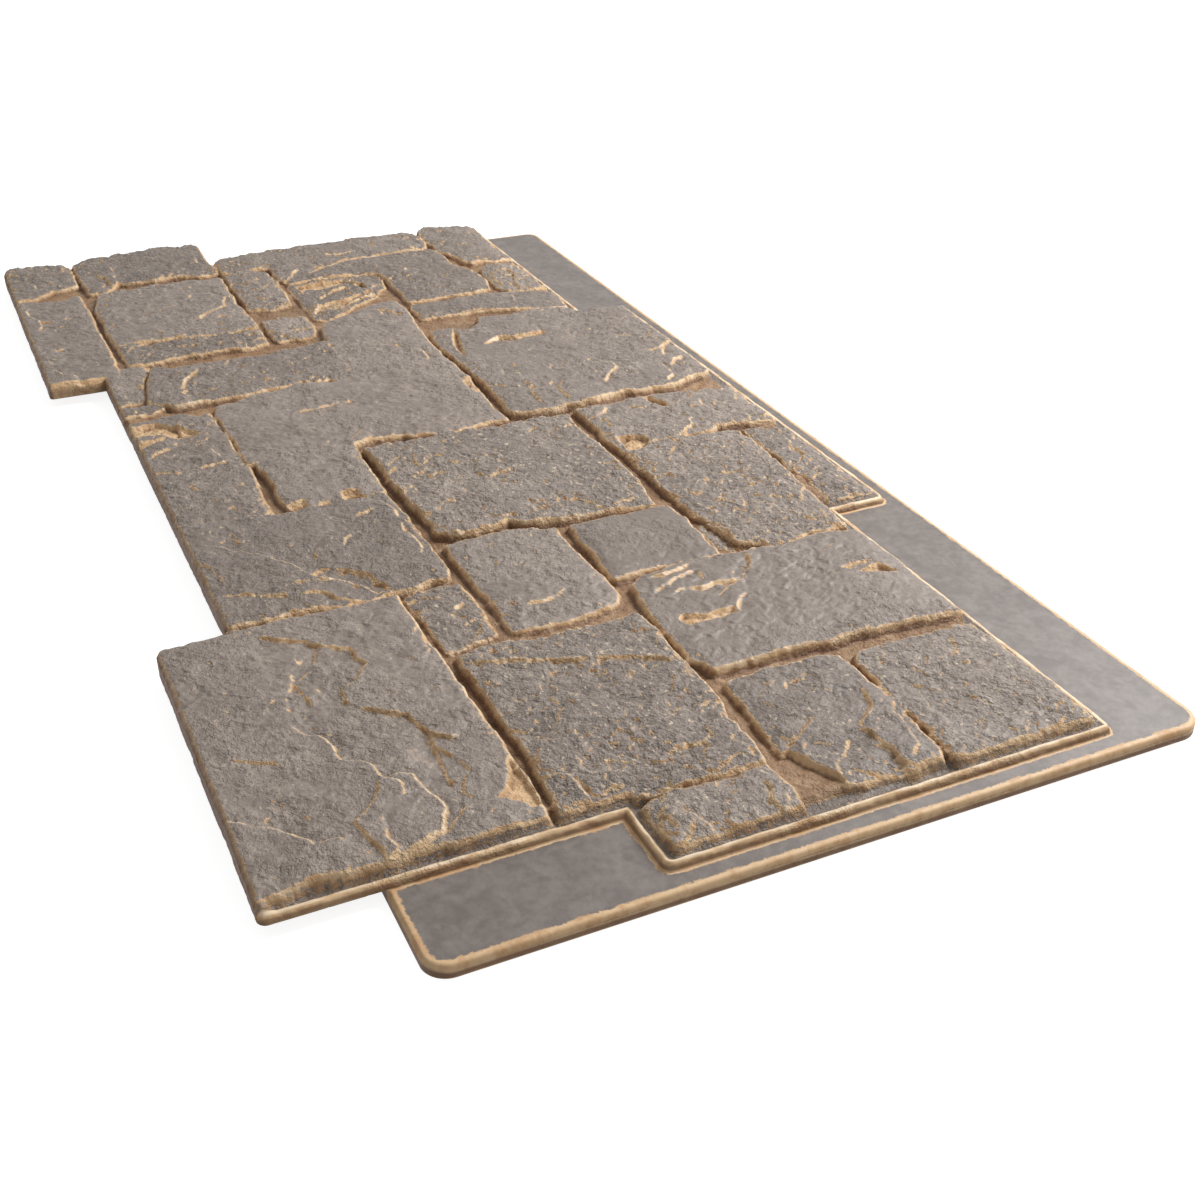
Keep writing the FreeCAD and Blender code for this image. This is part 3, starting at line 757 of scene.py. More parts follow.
@dataclass
class PanelGrid:
    """The grid that carries the face: lines on every step of the outline, bent to its real edges.

    Fields:
        pitch: Spacing of the lines, in millimetres.
        wall_gaps: Where extra lines stand by a lip wall, outward being positive.
        round_gaps: Where extra lines stand inside the flange's rounded edge.
        crowded: Even lines nearer than this share of the pitch to an extra line are left out.
        far_fade: Over how far the far edges' worn outline fades, at the key and at the rest.
        step_fade: Over how far the rest's worn outline fades beside the key.
        left_fade: Over how far the left edges' waves fade.
        key_edge: The key's worn far edge, as places across and along the panel.
        notch_edge: The same for the far edge of the rest.
    """

    pitch: float
    wall_gaps: tuple[float, ...] = (-0.6, 0.5)
    round_gaps: tuple[float, ...] = (0.4, 1.2, 2.2)
    crowded: float = 0.35
    far_fade: tuple[float, float] = (50.0, 52.0)
    step_fade: float = 26.0
    left_fade: float = 12.0
    key_edge: Points = (
        (-313.5, -588), (-305, -597), (-290, -595), (-275, -598), (-260, -596), (-249, -591),
        (-243, -581), (-238, -585), (-228, -591), (-215, -599), (-200, -598), (-190, -603),
        (-170, -600.5), (-158, -601), (-145, -608.5), (-135, -608), (-120, -603), (-110, -605),
        (-98, -608.5), (-92.1, -606))
    notch_edge: Points = (
        (-92.1, -527), (-86, -536), (-70, -541), (-55, -537), (-40, -541), (-20, -547), (0, -546),
        (20, -549), (50, -548), (70, -551), (90, -555), (105, -556), (125, -552), (140, -551),
        (150, -545), (158, -540), (164, -550), (172, -562), (177, -566), (184, -560), (190, -553),
        (205, -554), (220, -556), (245.5, -557))

    def __post_init__(self) -> None:
        """Lays the lines and bends them."""
        e = EDGES
        self.columns = self.lines(
            (e.far_key, e.far_notch, e.flange_far, e.left_step_far_x, e.right_step_far_x,
             e.right_step_near_x, e.left_step_near_x, e.near_notch, e.near_key, e.flange_near),
            [x + gap for x in (e.near_notch, e.near_key, e.right_step_near_x)
             for gap in self.wall_gaps]
            + [e.right_step_far_x - gap for gap in self.wall_gaps]
            + [e.flange_near - gap for gap in self.round_gaps],
        )
        self.rows = self.lines(
            (e.left_key, e.left_notch, e.flange_left, e.far_step_y, e.near_step_y, e.right_notch,
             e.right_key, e.flange_right),
            [y + gap for y in (e.right_notch, e.right_key) for gap in self.wall_gaps]
            + [e.near_step_y - gap for gap in self.wall_gaps]
            + [e.flange_right - gap for gap in self.round_gaps],
        )
        even_x, even_y = np.meshgrid(self.columns, self.rows, indexing="ij")
        shift_x, shift_y = np.zeros_like(even_x), np.zeros_like(even_y)
        for corner in self.corners():
            corner.bend(even_x, even_y, shift_x, shift_y)
        self.wear_far_edge(even_x, even_y, shift_x)
        self.wear_left_edge(even_x, even_y, shift_y)
        self.x, self.y = even_x + shift_x, even_y + shift_y
        self.find_rows()

    def lines(self, steps: tuple[float, ...], extra: list[float]) -> Array:
        """Even lines between the steps, with extra lines where a wall or a round edge needs them.

        Args:
            steps: Places that have to be on a line, in order.
            extra: More places, in any order.

        Returns:
            The lines in order. Even lines that stand too near an extra one are left out.
        """
        runs = []
        for low, high in zip(steps[:-1], steps[1:]):
            count = max(1, round((high - low) / self.pitch))
            runs.append(np.linspace(low, high, count + 1)[:-1])
        even = np.concatenate([*runs, [steps[-1]]])
        added = np.array(sorted(extra))
        gap = np.abs(even[:, None] - added[None, :]).min(axis=1)
        kept = even[(gap > self.crowded * self.pitch) | np.isin(even, steps)]
        return np.unique(np.round(np.concatenate([kept, added]), 4))

    def column(self, x: float) -> int:
        """Number of the column line nearest to a place."""
        return int(np.abs(self.columns - x).argmin())

    def row(self, y: float) -> int:
        """Number of the row line nearest to a place."""
        return int(np.abs(self.rows - y).argmin())

    def corners(self) -> tuple[CornerRound, ...]:
        """Every convex corner of the field, the lip and the flange."""
        e, r = EDGES, EDGES.corner_radius
        return (
            CornerRound(e.far_key, e.left_key, -1, -1, 9),
            CornerRound(e.far_key, e.far_step_y, -1, 1, 5),
            CornerRound(e.left_step_far_x, e.left_key, 1, -1, 4),
            CornerRound(e.left_step_near_x, e.left_key, -1, -1, 9),
            CornerRound(e.near_notch, e.left_key, 1, -1, 6),
            CornerRound(e.near_key, e.near_step_y, 1, -1, r),
            CornerRound(e.near_key, e.right_notch, 1, 1, 10),
            CornerRound(e.right_step_near_x, e.right_key, 1, 1, r),
            CornerRound(e.right_step_far_x, e.right_key, -1, 1, r),
            CornerRound(e.far_notch, e.right_notch, -1, 1, 4),
            CornerRound(e.flange_near, e.flange_right, 1, 1, e.flange_right_radius),
            CornerRound(e.flange_near, e.flange_left, 1, -1, e.flange_left_radius),
            CornerRound(e.flange_far, e.flange_right, -1, 1, e.flange_far_radius),
            CornerRound(e.flange_far, e.flange_left, -1, -1, e.flange_far_radius),
        )

    def wear_far_edge(self, x: Array, y: Array, shift_x: Array) -> None:
        """Moves the far edges to their broken outline, with a fine raggedness on top.

        Args:
            x: Even places along the panel.
            y: Even places across the panel.
            shift_x: Shifts along the panel, which this adds to. None passes the outermost edge.
        """
        e = EDGES
        key_fade, notch_fade = self.far_fade
        key_y, key_x = np.array(self.key_edge).T
        inward = np.interp(y, key_y, key_x) - e.far_key
        inward = inward * np.clip(1 - (x - e.far_key) / key_fade, 0, 1) * (y <= e.far_step_y)
        notch_y, notch_x = np.array(self.notch_edge).T
        stand = np.interp(y, notch_y, notch_x) - e.far_notch
        stand = stand * np.clip(1 - np.abs(x - e.far_notch) / notch_fade, 0, 1)
        stand = stand * np.clip(1 - (e.far_step_y - y) / self.step_fade, 0, 1)
        ragged = RELIEF.far_edge.over(GRAIN_EDGE, y, x * 0 + 3.0)
        edge = np.where(y <= e.far_step_y, e.far_key, e.far_notch)
        ragged = ragged * np.clip(1 - (x - edge) / 10, 0, 1)
        shift_x += np.maximum(inward + stand + np.minimum(ragged, 1.5), e.far_key - x)

    def wear_left_edge(self, x: Array, y: Array, shift_y: Array) -> None:
        """Waves the plain left edges inward by up to 1 mm.

        Args:
            x: Even places along the panel.
            y: Even places across the panel.
            shift_y: Shifts across the panel, which this adds to.
        """
        e = EDGES
        in_notch = (x > e.left_step_far_x) & (x < e.left_step_near_x)
        edge = np.where(in_notch, e.left_notch, e.left_key)
        wave = RELIEF.left_edge.over(GRAIN_EDGE, x, y * 0 + 40.0)
        ends = np.minimum(np.abs(x - e.left_step_far_x), np.abs(x - e.left_step_near_x))
        fade = np.clip(1 - (y - edge) / self.left_fade, 0, 1) * (y >= edge)
        fade = fade * smooth_step(ends, 0, 8)
        shift_y += np.maximum(wave, 0) * fade

    def find_rows(self) -> None:
        """Finds each column strip's first and last row, and which grid points are on the edge."""
        e = EDGES
        middle = (self.columns[:-1] + self.columns[1:]) / 2
        in_left_notch = (middle > e.left_step_far_x) & (middle < e.left_step_near_x)
        low = np.where(in_left_notch, e.left_notch, e.left_key)
        low = np.where(middle > e.near_notch, e.flange_left, low)
        high = np.where(middle < e.far_notch, e.far_step_y, e.right_notch)
        high = np.where(middle > e.flange_far, e.flange_right, high)
        self.first_row = np.searchsorted(self.rows, low - 0.01)
        self.last_row = np.searchsorted(self.rows, high - 0.01)
        cells = np.zeros((len(self.columns) + 1, len(self.rows) + 1), dtype=bool)
        row = np.arange(len(self.rows) + 1)[None, :] - 1
        cells[1:-1] = (row >= self.first_row[:, None]) & (row < self.last_row[:, None])
        whole = cells[1:, 1:] & cells[:-1, 1:] & cells[1:, :-1] & cells[:-1, :-1]
        self.at_edge = ~whole


@dataclass
class StoneFace:
    """The face of the panel as a height over the grid.

    Fields:
        grid: Where the heights stand.
        wall_out: How far a stone's foot stands out from its worn edge, in millimetres.
        wall_in: How far in from that edge the face is reached.
        bulge: Power that rounds the wall's top.
        roll: How far the face drops towards its edge, and over what distance.
        dip: How far more it drops towards the lip, and over what distance.
        grow: How far the worn edge stands outside the outline that was read.
        grow_far: How much farther it stands at the far end, where the joints were read too wide.
        rest_share: How much of its step the standing side of a scarp keeps.
        broken_share: How much of it the side that broke away has.
        far_end: Outlines that reach past this place may touch the bent far edges.
        far_bend: How far those edges can be bent along the panel.
        bend: How far the rest of the grid can be bent, along and across the panel.
    """

    grid: PanelGrid
    wall_out: float = 1.7
    wall_in: float = 1.2
    bulge: float = 1.9
    roll: tuple[float, float] = (2.2, 6.0)
    dip: tuple[float, float] = (4.5, 17.0)
    grow: float = 3.5
    grow_far: float = 1.8
    rest_share: float = 0.45
    broken_share: float = 1.1
    far_end: float = -440.0
    far_bend: float = 34.0
    bend: tuple[float, float] = (12.0, 8.0)

    def __post_init__(self) -> None:
        """Works out the height, the normals and the finish's attributes, in order."""
        x, y = self.grid.x, self.grid.y
        self.lines, self.vein = np.zeros_like(x), np.zeros_like(x)
        self.cut, self.bare_cut = np.zeros_like(x), np.zeros_like(x)
        self.draw_scarps()
        self.draw_chips()
        self.rim, self.flange = self.rim_distance(), self.flange_distance()
        self.plain = self.plain_distance() + RELIEF.plain_edge.over(GRAIN_EDGE, x + 40, y)
        self.height = self.tray()
        self.tone, self.lift, self.arris = np.zeros_like(x), np.zeros_like(x), np.zeros_like(x)
        self.rough = np.full_like(x, 0.5)
        self.lay_stones()
        self.wear_plain_edges()
        self.height = np.minimum(self.height, EDGES.highest)
        self.normals = self.slopes()
        self.attributes = FinishMap(self).values()

    def window(self, outline: Array, margin: float) -> tuple[slice, slice]:
        """The part of the grid that an outline can touch, with a margin for the bent far edge."""
        low, high = outline.min(axis=0) - margin, outline.max(axis=0) + margin
        bend, side_bend = self.bend
        far_bend = self.far_bend if low[0] < self.far_end else bend
        columns = np.searchsorted(self.grid.columns, (low[0] - far_bend, high[0] + bend))
        rows = np.searchsorted(self.grid.rows, (low[1] - side_bend, high[1] + side_bend))
        return slice(*columns), slice(*rows)

    def draw_scarps(self) -> None:
        """Adds each scarp: its step times the tanh of the distance, fading over its reach.

        The side that stands up is worn to less than half, and the side that broke away is not.
        """
        for scarp in SCARPS:
            points = EYE.onto(scarp.points, 25.0)
            part = self.window(points, scarp.reach * 2)
            x, y = self.grid.x[part], self.grid.y[part]
            x, y = (
                x + RELIEF.scarp_line.over(GRAIN_CLEFT, x, y),
                y + RELIEF.scarp_line.over(GRAIN_CLEFT, x + 500, y),
            )
            away, along = line_distance(x, y, points)
            ends = smooth_step(along, -1.0, 9.0)
            broken = np.clip(0.85 + RELIEF.scarp_height.over(GRAIN_SHAPE, x, y), 0.15, 1.25)
            shape = np.tanh(away / 0.6) * np.exp(-((away / scarp.reach) ** 2)) * ends * broken
            rise = scarp.step * shape
            kept = np.where(rise > 0, self.rest_share * rise, self.broken_share * rise)
            self.lines[part] += kept
            strong = np.clip(abs(scarp.step) / 1.5, 0, 1) * broken
            line = strong * ends * np.exp(-(away**2))
            self.vein[part] = np.maximum(self.vein[part], line)

    def draw_chips(self) -> None:
        """Sinks each chip: its depth times a smooth rise over 4 mm from its ragged outline."""
        for chip in CHIPS:
            points = EYE.onto(chip.outline, 24.0)
            part = self.window(points, 8.0)
            x, y = self.grid.x[part], self.grid.y[part]
            away = inside_distance(x, y, points) + RELIEF.chip_line.over(GRAIN_CLEFT, x, y)
            share = smooth_step(away, -1.0, 3.0)
            self.cut[part] = np.maximum(self.cut[part], chip.depth * share)
            self.bare_cut[part] = np.maximum(self.bare_cut[part], chip.bare * share)

    def rim_distance(self) -> Array:
        """Distance in from the lip's outer edge, with the stepped outline's corners rounded."""
        e, r = EDGES, EDGES.corner_radius
        outline = np.array([
            (e.far_key - AWAY, e.left_key - AWAY), (e.near_notch - r, e.left_key - AWAY),
            (e.near_notch - r, e.near_step_y + r), (e.near_key - r, e.near_step_y + r),
            (e.near_key - r, e.right_notch - r), (e.right_step_near_x - r, e.right_notch - r),
            (e.right_step_near_x - r, e.right_key - r), (e.right_step_far_x + r, e.right_key - r),
            (e.right_step_far_x + r, e.right_notch - r), (e.far_key - AWAY, e.right_notch - r),
        ])
        return inside_distance(self.grid.x, self.grid.y, outline) + r

    def flange_distance(self) -> Array:
        """Distance in from the flange's outline, by the formula for a box with round corners."""
        e = EDGES
        x, y = self.grid.x, self.grid.y
        middle_x = (e.flange_far + e.flange_near) / 2
        middle_y = (e.flange_left + e.flange_right) / 2
        near_radius = np.where(y > middle_y, e.flange_right_radius, e.flange_left_radius)
        radius = np.where(x < middle_x, e.flange_far_radius, near_radius)
        over_x = np.abs(x - middle_x) - (e.flange_near - e.flange_far) / 2 + radius
        over_y = np.abs(y - middle_y) - (e.flange_right - e.flange_left) / 2 + radius
        outside = np.hypot(np.maximum(over_x, 0), np.maximum(over_y, 0))
        return radius - outside - np.minimum(np.maximum(over_x, over_y), 0)

    def plain_distance(self) -> Array:
        """Distance in from the plain edges, on the even grid so that it follows their wear."""
        e = EDGES
        x, y = np.meshgrid(self.grid.columns, self.grid.rows, indexing="ij")
        outline = np.array([
            (e.far_key, e.left_key), (e.left_step_far_x, e.left_key),
            (e.left_step_far_x, e.left_notch), (e.left_step_near_x, e.left_notch),
            (e.left_step_near_x, e.left_key), (e.flange_near + AWAY, e.left_key),
            (e.flange_near + AWAY, e.flange_right + AWAY), (e.far_notch, e.flange_right + AWAY),
            (e.far_notch, e.far_step_y), (e.far_key, e.far_step_y),
        ])
        return inside_distance(x, y, outline)

    def tray(self) -> Array:
        """The panel without its stones: flange, lip wall, lip, ledge and the bed of the joints.

        The flange's edge is a quarter round: radius less the root of radius squared less the
        overshoot squared. The lip rises on a quarter wave, falls to the ledge, and the bed begins
        behind it. Where the lip meets a plain edge, it closes up to the field's level.
        """
        e = EDGES
        x, y = self.grid.x, self.grid.y
        over = np.clip(e.flange_round - self.flange, 0, e.flange_round)
        sheet = e.flange_top - e.flange_round + np.sqrt(e.flange_round**2 - over**2)
        sheet += RELIEF.sheet.over(GRAIN_SHAPE, x, y) * (over <= 0)
        sheet = np.where(self.rim > -1.0, e.flange_top, sheet)
        rim = self.rim + RELIEF.lip_line.over(GRAIN_EDGE, x, y)
        wall = sheet + LIP.foot_height * smooth_step(self.rim, *LIP.foot)
        crest = e.lip_top + RELIEF.lip_crest.over(GRAIN_EDGE, x, y)
        start, length = LIP.rise
        rise = np.sin(0.5 * np.pi * np.clip((rim - start) / length, 0, 1))
        closed = 1 - smooth_step(self.plain, *LIP.closing)
        crest = crest + LIP.closed_crest * closed
        valley = e.ledge_floor + RELIEF.ledge.over(GRAIN_SHAPE, x, y)
        valley = valley + LIP.closed_valley * closed
        bed = e.joint_floor + RELIEF.bed_waves.over(GRAIN_SHAPE, x, y)
        bed = bed + RELIEF.bed_grit.over(GRAIN_CLEFT, x, y)
        lip = wall + (crest - wall) * rise
        lip = lip + (valley - lip) * smooth_step(rim, *LIP.fall)
        return lip + (bed - lip) * smooth_step(rim, *LIP.bed)

    def clefts(self) -> tuple[Array, Array, Array]:
        """Relief of a stone face: thin layers that break off at wandering edges, wrinkles and pits.

        A layer's edge stands where its noise passes a whole number.

        Returns:
            The broad relief that every stone has, the wrinkles that rough stones have more of, and
            the small pits.
        """
        x, y = self.grid.x, self.grid.y
        wander = RELIEF.wander.over(GRAIN_CLEFT, x, y)
        layers = RELIEF.layers.over(GRAIN_CLEFT, x + wander, y - wander) + 8.0
        whole = np.floor(layers)
        broad = whole + smooth_step(layers - whole, 0.0, 0.08) - 8.0
        broad += RELIEF.swell.over(GRAIN_SHAPE, x, y)
        flakes = RELIEF.flakes.over(GRAIN_CLEFT, x - 900 + wander, y + 300) + 8.0
        whole = np.floor(flakes)
        fine = 0.6 * (whole + smooth_step(flakes - whole, 0.0, 0.2) - 8.0)
        fine += GRAIN_CLEFT.ridged(x + 0.5 * wander, y - 0.5 * wander, 9.0, 2)
        worked = smooth_step(GRAIN_SHAPE.layered(x + 700, y, 110.0, 2), -0.2, 0.25)
        pits = (0.2 + 0.25 * worked) * np.tanh(RELIEF.pits.over(GRAIN_SHAPE, x, y))
        return broad, fine, pits

    def lay_stones(self) -> None:
        """Raises every stone from the bed. At a point, the highest stone holds the surface."""
        x, y = self.grid.x, self.grid.y
        roll, roll_reach = self.roll
        dip, dip_reach = self.dip
        ragged = RELIEF.stone_edge.over(GRAIN_SHAPE, x, y)
        broad, fine, pits = self.clefts()
        inside_lip = smooth_step(self.rim, 4.0, 10.0)
        fall = dip * np.exp(-np.maximum(self.rim - 9.0, 0) / dip_reach)
        tray = self.height.copy()
        for order, stone in enumerate(STONES):
            outline = EYE.onto(stone.outline, stone.level - roll)
            part = self.window(outline, 8.0)
            far_share = smooth_step(-outline.mean(axis=0)[0], 240.0, 400.0)
            grown = self.grow + self.grow_far * far_share
            away = inside_distance(x[part], y[part], outline) + grown + ragged[part]
            share = np.clip((away + self.wall_out) / (self.wall_in + self.wall_out), 0, 1)
            share = (1 - (1 - share) ** self.bulge) * inside_lip[part]
            face = stone.level + (0.6 + 0.7 * stone.rough) * broad[part]
            face = face + (0.15 + stone.rough) * fine[part]
            face = face + (0.6 + stone.rough) * pits[part] + self.lines[part] - self.cut[part]
            face = face - roll * np.exp(-np.maximum(away, 0) / roll_reach) - fall[part]
            raised = tray[part] + (face - tray[part]) * share
            taken = (raised > self.height[part]) & (share > 0)
            tone = 0.5 * np.sin(2.4 * order + 1.0)
            edge = np.exp(-np.maximum(away, 0) / 2.4)
            for values, new in (
                (self.height, raised), (self.tone, tone), (self.rough, stone.rough),
                (self.lift, share), (self.arris, edge),
            ):
                values[part] = np.where(taken, new, values[part])

    def wear_plain_edges(self) -> None:
        """Rounds the plain edges: the height falls by a power of the nearness to the edge."""
        worn = np.clip(1 - self.plain / 4.5, 0, 1.2) ** 2.2
        over_flange = np.clip((self.height - 10) / 4, 0, 1)
        self.height = self.height - 4.2 * worn * (self.rim > -0.8) * over_flange

    def slopes(self) -> Array:
        """Unit normals from the cross product of the grid's two central differences."""
        place = np.stack([self.grid.x, self.grid.y, self.height], axis=-1)
        normals = np.cross(np.gradient(place, axis=0), np.gradient(place, axis=1))
        return normals / np.linalg.norm(normals, axis=-1, keepdims=True)

    def blurred(self, reach: float) -> Array:
        """Mean height over a square of the given half side, by running sums along each way."""
        values = self.height
        width = max(1, round(reach / self.grid.pitch))
        for axis in (0, 1):
            pads = [(width + 1, width) if way == axis else (0, 0) for way in (0, 1)]
            total = np.cumsum(np.pad(values, pads, mode="edge"), axis=axis)
            high = np.take(total, range(2 * width + 1, total.shape[axis]), axis=axis)
            low = np.take(total, range(0, total.shape[axis] - 2 * width - 1), axis=axis)
            values = (high - low) / (2 * width + 1)
        return values


@dataclass
class FinishMap:
    """What the paint needs to know at each point of the face, worked out from its shape.

    Fields:
        face: The face, with its heights and normals done.
        lip_start: Where the lip begins, as a distance in from its outer edge.
        ledge_start: Where the ledge begins.
        ledge_end: Where the ledge ends.
    """

    face: StoneFace
    lip_start: float = -0.4
    ledge_start: float = 4.8
    ledge_end: float = 15.0

    def __post_init__(self) -> None:
        """Measures slopes, hollows and zones."""
        face = self.face
        self.steep = np.sqrt(1 - face.normals[..., 2] ** 2)
        near = face.blurred(2.5)
        self.hollow, self.proud = near - face.height, face.height - near
        self.on_flange = face.rim < self.lip_start
        self.on_lip = (face.rim >= self.lip_start) & (face.rim < self.ledge_start)
        on_ledge = (face.rim >= self.ledge_start) & (face.rim < self.ledge_end)
        self.on_ledge = on_ledge & (face.lift < 0.8)
        self.joint = smooth_step(1 - face.lift, 0.1, 0.45)
        # Sides facing +Y, towards the key light, where highlight is painted.
        self.lit_side = smooth_step(face.normals[..., 1], -0.35, 0.2)
        self.patchy = 0.7 + RELIEF.patches.over(GRAIN_SHAPE, face.grid.x, face.grid.y)

    def bare(self) -> Array:
        """How little of the grey top coat lies here, from slope, hollow, chips and scarps."""
        face = self.face
        bare = 0.95 * smooth_step(self.steep, 0.36, 0.74)
        bare = bare + 0.2 * np.clip(self.hollow / 0.5, 0, 1)
        bare = np.maximum(bare, 0.9 * self.joint) + 0.7 * face.vein * (0.45 + 0.55 * self.patchy)
        # Tan on the arrises: wear, and painted highlight on the sides facing the key light.
        rubbed = 0.75 * face.arris * (0.35 + 0.65 * self.lit_side)
        bare = bare + rubbed * np.clip(self.patchy + 0.3, 0, 1)
        bare = bare + 0.8 * face.bare_cut * smooth_step(face.cut, 0.5, 2.5)
        bare = np.where(self.on_ledge, 0.2 + 0.3 * smooth_step(self.steep, 0.3, 0.8), bare)
        bare = np.where(self.on_lip, 0.8 + 0.3 * self.steep, bare)
        foot = np.exp(-np.maximum(-face.rim + self.lip_start, 0) / 3.0)
        edge = 1.2 * np.clip(1 - face.flange / 8.5, 0, 1)
        return np.where(self.on_flange, np.maximum(0.95 * foot, edge), bare)

    def crest(self) -> Array:
        """How much cream lies here, partly painted highlight.

        Cream lies on proud points and along the lip's top, partly as painted highlight, and on
        scarp lines and arrises that face the key light as painted highlight.
        """
        face = self.face
        # Cream on proud points, partly painted highlight.
        crest = 0.5 * np.clip(self.proud / 1.2, 0, 1) * self.patchy
        # Painted highlight on scarp lines and arrises that face the key light.
        crest = crest + 0.65 * face.vein * self.lit_side
        crest = crest + 0.25 * face.arris * self.lit_side
        crest = crest * smooth_step(face.plain, 0.5, 4.0)
        crest = np.where(self.on_lip, smooth_step(face.height, 13.9, 15.0) * self.patchy, crest)
        return np.where(self.on_flange, 0.0, crest)

    def umber_and_shade(self) -> Array:
        """How much umber the base coat takes, partly painted shade.

        More in the joints, a set amount on the ledge and a little on the flange. In hollows, in
        places lower than their surroundings, at the foot of the lip's wall and on walls facing
        left, away from the key light, the umber is painted shade.
        """
        face = self.face
        # Painted shade: walls facing left, away from the key light, take more umber.
        shaded = smooth_step(-face.normals[..., 1], 0.2, 0.75)
        # Painted shade: places lower than their surroundings and small hollows take more umber.
        sunk_shade = smooth_step(face.blurred(9.0) - face.height, 0.4, 3.0)
        umber_and_shade = 0.12 * shaded + 0.42 * np.clip(self.hollow / 0.9, 0, 1)
        umber_and_shade = umber_and_shade + (0.3 + 0.2 * self.joint) * sunk_shade
        # Painted shade: walls facing left near the plain edges take more umber still.
        outer = 1 - smooth_step(face.plain, 1.0, 5.0)
        umber_and_shade = np.maximum(umber_and_shade, 0.72 * self.joint) + 0.5 * shaded * outer
        umber_and_shade = np.where(self.on_ledge, 0.6, umber_and_shade)
        # Painted shade at the foot of the lip's wall.
        lip_foot_shade = 0.72 * (1 - smooth_step(face.height, 12.5, 14.5))
        umber_and_shade = np.where(self.on_lip, lip_foot_shade, umber_and_shade)
        return np.where(self.on_flange, 0.1, umber_and_shade)

    def values(self) -> dict[str, Array]:
        """Vertex attributes that the finish reads.

        Returns:
            bare, crest and the umber amount as above, each from nought to about one, crest being
            partly painted highlight and the umber partly painted shade; tone, rough and zone: the
            stone's own tone, its roughness, and field or flange.
        """
        face = self.face
        return {
            "bare": np.clip(self.bare(), 0, 1.4),
            "crest": np.clip(self.crest(), 0, 1),
            "umber_and_shade": np.clip(self.umber_and_shade(), 0, 1),
            "tone": np.where(self.on_ledge, -1.2, face.tone),
            "rough": np.where(face.rim < self.ledge_start, 0.0, face.rough),
            "zone": np.where(self.on_flange, Zone.FLANGE.value, Zone.FIELD.value),
        }


@dataclass(frozen=True)
class Shell:
    """Corners and faces of one closed section.

    Fields:
        used: Grid points that the face has.
        column: Column of each point once round the section.
        row: Row of each of those points.
        out: Outward direction of each of those points.
        share: How far down the wall each ring is.
        places: Every corner's place, in millimetres: the face's, then the rings'.
        quads: Corner numbers of the four-sided faces.
        back: Corner numbers of the flat underside.
        normals: One normal for each corner of each face, in the same order.
    """

    used: Array
    column: Array
    row: Array
    out: Array
    share: Array
    places: Array
    quads: Array
    back: Array
    normals: Array


